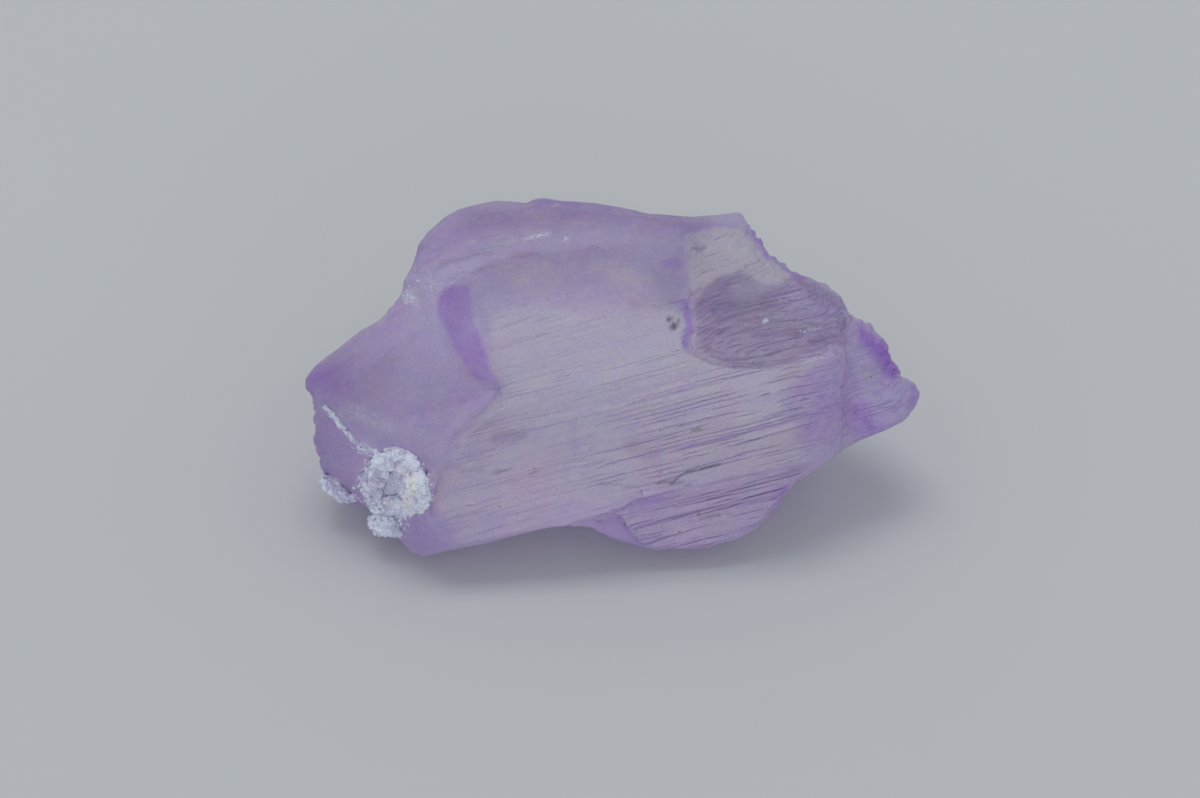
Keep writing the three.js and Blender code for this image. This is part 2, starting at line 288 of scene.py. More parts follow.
class FineMesh:
    """A fine even mesh drawn over a closed form, which can be worn and carved."""

    def __init__(self, name: str, form: tuple[Array, Array], pitch: float, stretch: float = 1.0) -> None:
        """Draws the mesh.

        Args:
            name: The name of the new piece.
            form: The form's points in the drawing and its triangles.
            pitch: The distance between the new mesh's points, in millimetres.
            stretch: How much longer that distance is along the grain.
        """
        ruled = DRAWING.grain / (stretch, 1.0, 1.0)
        rough = bpy.data.meshes.new(name + "_rough")
        rough.from_pydata((form[0] @ ruled).tolist(), [], form[1].tolist())
        self.object = put_in_scene(name, rough)
        remesh = self.object.modifiers.new("even", "REMESH")
        remesh.mode = "VOXEL"
        remesh.voxel_size = pitch
        remesh.use_smooth_shade = True
        depsgraph = bpy.context.evaluated_depsgraph_get()
        mesh = bpy.data.meshes.new_from_object(self.object.evaluated_get(depsgraph))
        mesh.name = name
        self.object.modifiers.clear()
        self.object.data = mesh
        bpy.data.meshes.remove(rough)
        edges = np.zeros(len(mesh.edges) * 2, np.int64)
        mesh.edges.foreach_get("vertices", edges)
        self.edges = edges.reshape(-1, 2)
        self.points = self.read("co") @ np.linalg.inv(ruled)

    def read(self, what: str) -> Array:
        """Reads what Blender keeps for each point.

        Args:
            what: Which property of a vertex.

        Returns:
            A row of three for each point.
        """
        flat = np.zeros(len(self.object.data.vertices) * 3)
        self.object.data.vertices.foreach_get(what, flat)
        return flat.reshape(-1, 3)

    @property
    def points(self) -> Array:
        """The mesh's points in the drawing."""
        return DRAWING.from_frame(self.read("co"))

    @points.setter
    def points(self, moved: Array) -> None:
        """Moves the points, but none of them below the surface that the stone stands on.

        Args:
            moved: Where each is to be in the drawing.
        """
        placed = DRAWING.to_frame(moved)
        placed[:, 2] = np.maximum(placed[:, 2], 0.0)
        self.object.data.vertices.foreach_set("co", placed.ravel())
        self.object.data.update()

    @property
    def normals(self) -> Array:
        """The direction out of the skin at each point, in the drawing."""
        return self.read("normal") @ np.array(DRAWING.axes)

    def average_around(self, values: Array) -> Array:
        """The mean of each point's neighbours.

        Args:
            values: One row for each point.

        Returns:
            The means, one row for each point.
        """
        one, other = self.edges.T
        count = np.bincount(self.edges.ravel(), minlength=len(values))
        total = [
            np.bincount(one, column[other], len(values)) + np.bincount(other, column[one], len(values))
            for column in values.T
        ]
        return np.stack(total, axis=1) / np.maximum(count, 1)[:, None]

    def wear(self, rounds: int, share: Array | float = 1.0, take_back: float = 0.5) -> None:
        """Rounds the edges off.

        Args:
            rounds: How many times each point moves half-way to its neighbours' mean.
            share: How fully each point takes part.
            take_back: Share of the way that it moves back each time, so that the whole doesn't shrink.
        """
        points = self.points
        share = np.broadcast_to(share, len(points))[:, None]
        for _ in range(rounds):
            points = points + share * 0.5 * (self.average_around(points) - points)
            points = points - share * take_back * (self.average_around(points) - points)
        self.points = points

    def raise_by(self, heights: Array) -> None:
        """Moves each point out of the skin by its height in millimetres."""
        self.points = self.points + heights[:, None] * self.normals

    def store(self, name: Attribute, values: Array) -> None:
        """Keeps a number or a vector for each point, for the material to read.

        Args:
            name: What it is.
            values: One number or one row of three for each point.
        """
        kind, field = ("FLOAT_VECTOR", "vector") if values.ndim == 2 else ("FLOAT", "value")
        made = self.object.data.attributes.new(name.value, kind, "POINT")
        made.data.foreach_set(field, values.astype(np.float32).ravel())


class Wiring:
    """Short ways to add nodes and links to a node tree."""

    def __init__(self, tree: NodeTree) -> None:
        """Takes the tree that they go into."""
        self.tree = tree

    def give(self, target: NodeSocket, value: NodeSocket | float | tuple[float, ...]) -> None:
        """Feeds an input from an output, or sets it to a plain value.

        Args:
            target: The input.
            value: The output or the value.
        """
        if isinstance(value, NodeSocket):
            self.tree.links.new(value, target)
        else:
            target.default_value = value

    def add(self, kind: str, inputs: dict, **settings: str | bool | NodeTree) -> Node:
        """Adds a shader node.

        Args:
            kind: Its kind.
            inputs: What each of its inputs is given, by name or number.
            **settings: Its other settings.

        Returns:
            The node.
        """
        node = self.tree.nodes.new("ShaderNode" + kind)
        for name, setting in settings.items():
            setattr(node, name, setting)
        for name, value in inputs.items():
            self.give(node.inputs[name], value)
        return node

    def math(self, operation: str, *values: NodeSocket | float, clamp: bool = False) -> NodeSocket:
        """Does arithmetic on outputs and plain numbers."""
        return self.add("Math", dict(enumerate(values)), operation=operation, use_clamp=clamp).outputs[0]


class Group(Wiring):
    """A shader node group under construction: it takes a vector and numbers, and puts out one number."""

    def __init__(self, name: str, **inputs: float) -> None:
        """Starts the group.

        Args:
            name: Its name.
            **inputs: Each number that it takes, and what that is unless it is set.
        """
        super().__init__(bpy.data.node_groups.new(name, "ShaderNodeTree"))
        sockets = self.tree.interface
        sockets.new_socket("Vector", in_out="INPUT", socket_type="NodeSocketVector")
        for label, usual in inputs.items():
            sockets.new_socket(label, in_out="INPUT", socket_type="NodeSocketFloat").default_value = usual
        sockets.new_socket("Value", in_out="OUTPUT", socket_type="NodeSocketFloat")
        self.given = self.tree.nodes.new("NodeGroupInput").outputs

    def finish(self, value: NodeSocket) -> NodeTree:
        """Puts out its number and gives the finished group."""
        self.give(self.tree.nodes.new("NodeGroupOutput").inputs["Value"], value)
        return self.tree

    def long_noise(self, detail: float) -> NodeSocket:
        """Adds noise that is drawn out along x, by the inputs Length and Width.

        Args:
            detail: How much finer noise is laid over it.

        Returns:
            The noise, around one half.
        """
        width = self.given["Width"]
        sizes = self.add("CombineXYZ", {"X": self.given["Length"], "Y": width, "Z": width})
        place = self.add("VectorMath", {0: self.given["Vector"], 1: sizes.outputs[0]}, operation="DIVIDE")
        inputs = {"Vector": place.outputs[0], "Scale": 1.0, "Detail": detail, "Roughness": 0.55}
        return self.add("TexNoise", inputs).outputs["Fac"]

    def rise(self, value: NodeSocket, low: NodeSocket, high: NodeSocket | float) -> NodeSocket:
        """Rises smoothly from 0 at low to 1 at high."""
        inputs = {"Value": value, "From Min": low, "From Max": high}
        return self.add("MapRange", inputs, interpolation_type="SMOOTHSTEP").outputs["Result"]


class Effects:
    """Shader node groups that the materials share, each built once."""

    def __init__(self) -> None:
        """Builds the groups."""
        self.mottle = self._mottle()
        self.streaks = self._streaks()
        self.hairlines = self._hairlines()

    @staticmethod
    def _mottle() -> NodeTree:
        """Builds soft uneven patches.

        Returns:
            The group, which puts out a value from 0 to 1 around one half.
        """
        group = Group("Mottle", Size=1.0, Contrast=1.0, Warp=0.0)
        scale = group.math("DIVIDE", 1.0, group.given["Size"])
        inputs = {"Vector": group.given["Vector"], "Scale": scale, "Distortion": group.given["Warp"]}
        pattern = group.add("TexNoise", inputs | {"Detail": 2.5, "Roughness": 0.6})
        centred = group.math("SUBTRACT", pattern.outputs["Fac"], 0.5)
        return group.finish(group.math("MULTIPLY_ADD", centred, group.given["Contrast"], 0.5, clamp=True))

    @staticmethod
    def _streaks() -> NodeTree:
        """Builds short streaks along x.

        Returns:
            The group, which puts out 1 in a streak and 0 between.
        """
        group = Group("Grain streaks", Length=8.0, Width=0.3, Share=0.3)
        level = group.math("MULTIPLY_ADD", group.given["Share"], 0.36, 0.32)
        return group.finish(group.rise(group.long_noise(3.0), level, group.math("SUBTRACT", level, 0.1)))

    @staticmethod
    def _hairlines() -> NodeTree:
        """Builds long thin lines that waver along x.

        Returns:
            The group, which puts out 1 on a line and 0 between.
        """
        group = Group("Hairlines", Length=12.0, Width=1.2, Spacing=0.5, Waver=3.0, Thickness=0.1)
        inputs = {0: group.given["Vector"], 1: (0.0, 1.0, 0.7)}
        across = group.add("VectorMath", inputs, operation="DOT_PRODUCT").outputs["Value"]
        count = group.math("DIVIDE", across, group.given["Spacing"])
        level = group.math("MULTIPLY_ADD", group.long_noise(2.0), group.given["Waver"], count)
        return group.finish(group.rise(group.math("PINGPONG", level, 0.5), group.given["Thickness"], 0.0))


class MaterialTree(Wiring):
    """A material under construction, round its Principled shader."""

    def __init__(self, name: str, effects: Effects, place: Attribute | None = None) -> None:
        """Starts the material.

        Args:
            name: Its name.
            effects: The shared groups.
            place: The coordinates that the mesh carries for it, if not the object's own.
        """
        self.material = bpy.data.materials.new(name)
        self.material.use_nodes = True
        super().__init__(self.material.node_tree)
        self.effects = effects
        if place is None:
            self.place = self.add("TexCoord", {}).outputs["Object"]
        else:
            self.place = self.carried(place, "Vector")

    def shade(self, label: str, value: NodeSocket | float) -> None:
        """Gives one of the shader's inputs its value."""
        self.give(self.tree.nodes["Principled BSDF"].inputs[label], value)

    def carried(self, name: Attribute, output: str = "Fac") -> NodeSocket:
        """Reads what the mesh carries."""
        return self.add("Attribute", {}, attribute_name=name.value).outputs[output]

    def effect(self, group: NodeTree, **values: float) -> NodeSocket:
        """Places a group with its own values at the material's coordinates."""
        return self.add("Group", {"Vector": self.place} | values, node_tree=group).outputs[0]

    def mottle(self, size: float, contrast: float, warp: float = 0.0) -> NodeSocket:
        """Soft patches of one size, in the unit of the coordinates."""
        return self.effect(self.effects.mottle, Size=size, Contrast=contrast, Warp=warp)

    def ramp(self, value: NodeSocket, *stops: tuple[float, Colour]) -> NodeSocket:
        """Turns a number into a colour.

        Args:
            value: The number, from 0 to 1.
            *stops: Each colour and where it stands.

        Returns:
            The colour.
        """
        node = self.add("ValToRGB", {"Fac": value})
        elements = node.color_ramp.elements
        while len(elements) < len(stops):
            elements.new(0.5)
        for element, (position, colour) in zip(elements, stops):
            element.position = position
            element.color = (*colour, 1.0)
        return node.outputs["Color"]

    def mix(self, share: NodeSocket | float, one: NodeSocket, other: NodeSocket | Colour) -> NodeSocket:
        """Lays a share of another colour over one."""
        return self._blend("MIX", share, one, other)

    def tint(self, share: NodeSocket | float, one: NodeSocket, other: NodeSocket | Colour) -> NodeSocket:
        """Multiplies one colour by a share of another."""
        return self._blend("MULTIPLY", share, one, other)

    def _blend(self, how: str, share: NodeSocket | float, *colours: NodeSocket | Colour) -> NodeSocket:
        """Blends two colours.

        Args:
            how: The way of blending.
            share: How much of the second is used.
            *colours: The two.

        Returns:
            The blended colour.
        """
        one, other = ((*colour, 1.0) if isinstance(colour, tuple) else colour for colour in colours)
        node = self.add("Mix", {0: share, 6: one, 7: other}, data_type="RGBA", blend_type=how)
        return node.outputs[2]

    def bump(self, height: NodeSocket, depth: float, strength: float, **under: NodeSocket) -> NodeSocket:
        """Adds relief to the shading, in millimetres, over another normal if that is given as Normal."""
        inputs = {"Height": height, "Distance": depth * MM, "Strength": strength}
        return self.add("Bump", inputs | under).outputs["Normal"]


@dataclass(frozen=True)
class KunziteFinish:
    """Clear lilac crystal with a frosted skin.

    Attributes:
        bare: Colour where the stone has none of its own.
        clear: Colour of the pale broad front.
        lilac: Its usual colour.
        violet: Colour at both ends, and painted shade in the deep creases.
        deep: Colour of the thin broken rims, their own violet deepened by painted glow.
        cool: Tint of the bluer patches.
        warm: Tint of the pinker patches.
        dull: What the duller grains of the etched skin are multiplied by.
        bright: What its brighter grains are multiplied by.
        line: What the hairlines along the grain are multiplied by: fine cracks, with painted shade in their
            grooves.
        dark_and_shade: What the dark places are multiplied by, which are partly darker stone and partly
            painted shade in the hollows, the scoop and along the top band.
        chalk_and_glint: Colour of the white veils on the skin, and of the glints, which are painted
            highlights.
        speck: Colour of the dark specks and cracks.
        refraction: How strongly the crystal bends light.
        through: Share of the light that goes into the crystal.
        frosting: Roughness of the etched skin.
        body_colour: Colour of light that has crossed the crystal.
        body_density: How quickly it takes that colour, for each metre.
    """

    bare: Colour = (1.0, 0.99, 0.96)
    clear: Colour = (0.96, 0.93, 1.0)
    lilac: Colour = (0.8, 0.71, 1.0)
    violet: Colour = (0.66, 0.44, 1.0)
    deep: Colour = (0.54, 0.26, 0.96)
    cool: Colour = (0.93, 0.97, 1.0)
    warm: Colour = (1.0, 0.95, 0.97)
    dull: Colour = (0.88, 0.87, 0.93)
    bright: Colour = (1.0, 1.0, 1.0)
    line: Colour = (0.7, 0.6, 0.86)
    dark_and_shade: Colour = (0.42, 0.34, 0.42)
    chalk_and_glint: Colour = (0.88, 0.88, 1.0)
    speck: Colour = (0.07, 0.05, 0.08)
    refraction: float = 1.66
    through: float = 0.7
    frosting: float = 0.36
    body_colour: Colour = (0.9, 0.64, 0.94)
    body_density: float = 32.0

    def build(self, effects: Effects) -> Material:
        """Makes the material.

        Args:
            effects: The shared groups.

        Returns:
            The material.
        """
        made = MaterialTree("kunzite", effects, Attribute.PLACE)
        lines = self._lines(made)
        patches = made.mottle(size=1.4, contrast=2.2)
        made.shade("Base Color", self._colour(made, lines))
        made.shade("Roughness", made.math("MULTIPLY_ADD", patches, 0.2, self.frosting - 0.1))
        made.shade("Normal", self._relief(made, lines))
        made.shade("Transmission Weight", self.through)
        made.shade("IOR", self.refraction)
        inputs = {"Color": (*self.body_colour, 1.0), "Density": self.body_density}
        body = made.add("VolumeAbsorption", inputs)
        made.give(made.tree.nodes["Material Output"].inputs["Volume"], body.outputs["Volume"])
        return made.material

    @staticmethod
    def _lines(made: MaterialTree) -> NodeSocket:
        """Draws the hairlines along the grain, strong in some places and faint in others.

        Args:
            made: The material.

        Returns:
            How strong a line is, from 0 to about 1.
        """
        thin, streaks = made.effects.hairlines, made.effects.streaks
        wide = made.effect(thin, Length=18.0, Width=1.8, Spacing=0.8, Waver=2.4, Thickness=0.12)
        fine = made.effect(thin, Length=10.0, Width=0.8, Spacing=0.34, Waver=2.2, Thickness=0.22)
        wide = made.math("MULTIPLY", wide, made.effect(streaks, Length=18.0, Width=0.8, Share=0.46))
        fine = made.math("MULTIPLY", fine, made.effect(streaks, Length=9.0, Width=0.5, Share=0.6))
        return made.math("MULTIPLY", made.math("ADD", wide, fine), made.carried(Attribute.RIBBED))

    def _colour(self, made: MaterialTree, lines: NodeSocket) -> NodeSocket:
        """Mixes the crystal's colour from what its mesh carries.

        Args:
            made: The material.
            lines: The hairlines along the grain.

        Returns:
            The colour.
        """
        flakes = made.math("MULTIPLY_ADD", made.mottle(size=0.5, contrast=1.6, warp=0.5), 0.16, -0.21)
        uneven = made.math("MULTIPLY_ADD", made.mottle(size=2.6, contrast=1.8, warp=1.0), 0.26, flakes)
        level = made.math("ADD", made.carried(Attribute.VIOLET), uneven)
        veils = made.effect(made.effects.streaks, Length=16.0, Width=1.1, Share=0.5)
        veils = made.math("MULTIPLY", veils, made.carried(Attribute.RIBBED))
        level = made.math("MULTIPLY_ADD", veils, 0.12, level)
        pale = (0.0, self.bare), (0.14, self.clear)
        colour = made.ramp(level, *pale, (0.5, self.lilac), (0.8, self.violet), (1.0, self.deep))
        drift = made.ramp(made.mottle(size=4.6, contrast=2.6, warp=1.2), (0.2, self.cool), (0.8, self.warm))
        sparkle = made.ramp(made.mottle(size=0.2, contrast=2.6), (0.1, self.dull), (0.9, self.bright))
        dust = made.mottle(size=0.3, contrast=3.0, warp=0.8)
        colour = made.tint(1.0, colour, drift)
        # Hairlines: fine cracks along the grain, with painted shade in the grooves that the bump cuts along
        # them.
        colour = made.tint(lines, colour, self.line)
        # Darkened places: partly the stone's darker tone, partly painted shade in the hollows, the scoop and
        # along the top band.
        colour = made.tint(made.carried(Attribute.DARK_AND_SHADE), colour, self.dark_and_shade)
        # White veils, and painted highlights where the skin glints.
        colour = made.mix(made.math("MULTIPLY", made.carried(Attribute.CHALK_AND_GLINT), dust), colour, self.chalk_and_glint)
        colour = made.tint(1.0, colour, sparkle)
        return made.mix(made.carried(Attribute.SPECK), colour, self.speck)

    @staticmethod
    def _relief(made: MaterialTree, lines: NodeSocket) -> NodeSocket:
        """Adds the relief that is finer than the mesh.

        Args:
            made: The material.
            lines: The hairlines along the grain.

        Returns:
            The normal.
        """
        normal = made.bump(lines, -0.11, 1.0)
        normal = made.bump(made.mottle(size=0.55, contrast=1.8, warp=0.6), 0.08, 0.6, Normal=normal)
        return made.bump(made.mottle(size=0.16, contrast=1.8), 0.045, 0.7, Normal=normal)


@dataclass(frozen=True)
class FeldsparFinish:
    """Chalky white crust, dusted cream in places.

    Attributes:
        white: Its usual colour.
        cream: Colour of the stained grains.
        shade: Colour of the painted shade deep between grains, also of the greyer patches and where the
            crystal shows through.
    """

    white: Colour = (0.82, 0.86, 0.98)
    cream: Colour = (0.87, 0.87, 0.88)
    shade: Colour = (0.6, 0.57, 0.77)

    def build(self, effects: Effects) -> Material:
        """Makes the material.

        Args:
            effects: The shared groups.

        Returns:
            The material.
        """
        made = MaterialTree("feldspar", effects)
        inputs = {0: made.place, "Scale": 1.0 / MM}
        made.place = made.add("VectorMath", inputs, operation="SCALE").outputs[0]
        grain = made.mottle(size=0.12, contrast=1.8)
        patches = made.mottle(size=0.8, contrast=3.2, warp=1.0)
        colour = made.ramp(patches, (0.16, self.shade), (0.62, self.white))
        colour = made.mix(made.carried(Attribute.STAIN), colour, self.cream)
        # Painted shade between grains, and grey where the crystal shows through.
        shaded = made.math("MULTIPLY", made.carried(Attribute.SHADE), 0.8)
        made.shade("Base Color", made.mix(shaded, colour, self.shade))
        made.shade("Roughness", made.math("MULTIPLY_ADD", grain, 0.1, 0.85))
        made.shade("Normal", made.bump(grain, 0.04, 0.8))
        return made.material


SCOOP = (
    (6.2, 5.8), (7, 6.4), (8.4, 7.5), (9.4, 7.8), (10.8, 6.9), (12.5, 6.8), (13.3, 7.5),
    (15.2, 7), (16.9, 5.9), (17.4, 4.6), (17.4, 2.3), (13.8, 1.6), (10.9, 0.8), (9.4, 0.7),
    (7.9, 1.2), (6.5, 1.8), (6.2, 3.4),
)
LOBE = (
    (-23, -0.5), (-21.1, 1.2), (-18.7, 3.4), (-15.7, 5.5), (-13.5, 5.8), (-12.9, 4.6),
    (-12.1, 3.3), (-10.8, 1.8), (-9.2, 0.2), (-8.2, -0.4), (-8.3, -1.5), (-9.4, -2.3),
    (-11.1, -3.5), (-11.7, -4.7), (-12.3, -6.4), (-13.6, -7), (-14.7, -6.4), (-17.4, -5.5),
    (-19.6, -4.8), (-21.7, -1.9),
)
CRESCENT = (
    (-12.2, 6.9), (-10.6, 6.7), (-10.2, 4.6), (-9.9, 2.9), (-9.3, 1.4), (-8.8, 0.3), (-8.6, -0.7),
    (-9.6, -0.4), (-10.7, 0.7), (-11.7, 2.2), (-12.5, 3.8), (-12.8, 4.8), (-12.9, 5.9),
)
CLEAR_CORNER = (
    (5.5, 10.3), (7.7, 10.9), (9.6, 11), (10.4, 9.8), (11.2, 8.8), (12.7, 8), (13.9, 7.2),
    (12.5, 6.8), (10.8, 7), (9.4, 7.9), (8.4, 7.6), (7, 6.4), (6.1, 5.8), (5.9, 8.5),
)
RIGHT_END = (
    (14.5, 0.3), (17.3, 2.3), (17.8, 3.8), (19, 3.4), (20.8, 1.9), (21.7, -0.3), (22.9, -1.2),
    (22.7, -2.4), (21.2, -4), (17.8, -5.3), (16.7, -6), (15, -5.2),
)
VIOLET_RIM = (
    (18.3, 3.9), (19.5, 3.3), (20.4, 2.5), (21.2, 1.5), (21.8, 0.5), (21.4, -0.2), (20.7, 0.1),
    (20.1, 0.8), (19.3, 1.6), (18.6, 2.4),
)
FIN = (
    (-1.6, -10.9), (-0.9, -9.7), (3.6, -8.5), (14.4, -6.5), (13.7, -7.9), (12.2, -10.4),
    (9.6, -12.4), (6.6, -12.9), (2.8, -13.1), (0.6, -12.4),
)
TRIANGLE = ((-2, -10.8), (0.6, -10.5), (2.5, -12.9), (0.6, -12.5), (-0.9, -11.7))
LOW_CORNER = (
    (-15.9, -10.2), (-13.6, -9.7), (-11.7, -10.8), (-11.4, -12.6), (-13.6, -13.5), (-15.3, -12.9),
)
LEFT_STRIP = ((-22.5, -1.9), (-21.1, -3.1), (-18.3, -5.7), (-18.7, -7.9), (-21.4, -8.8), (-22.4, -6.7))
FACE = (
    (-12.4, -5.8), (-9.9, -2.8), (-8.3, -0.6), (-9, 1.6), (-9, 4.6), (-3.9, 5), (2.1, 5.5),
    (6, 6.2), (6.2, 2), (9.4, 0.7), (15, 1.4), (16, -3), (14.4, -6.4), (3.6, -8.5),
    (-1.2, -9.8), (-6, -11.2), (-12, -12.4), (-13.2, -9),
)


class Skin:
    """A mesh's points, where they lie along the grain and how far they face out of the drawing.

    Attributes:
        BACK: How far the skin faces out of the drawing where it is the back, from -1 to 1.
        FRONT: How far it does where it is the front.
    """

    BACK = -0.2
    FRONT = 0.12

    def __init__(self, mesh: FineMesh) -> None:
        """Reads them from the mesh as it is now.

        Args:
            mesh: The mesh.
        """
        self.points = mesh.points
        self.along = self.points @ DRAWING.grain
        self.front = smooth_step(mesh.normals[:, 2], self.BACK, self.FRONT)

    def level(
        self, marks: Marks, ground: float, behind: Array | float = 0.0, at: Array | None = None
    ) -> Array:
        """The level of marks over a ground on the front, found at other points if given, and one behind."""
        drawn = levels_of(marks, self.points if at is None else at, ground)
        return self.front * drawn + (1.0 - self.front) * behind


def sideways(points: Array, size: float, seed: float) -> Array:
    """Smooth random shifts across the drawing, each of about a millimetre at most."""
    flat = [noise_at(points, size, seed), noise_at(points, size, seed + 2.0), np.zeros(len(points))]
    return np.stack(flat, axis=1)


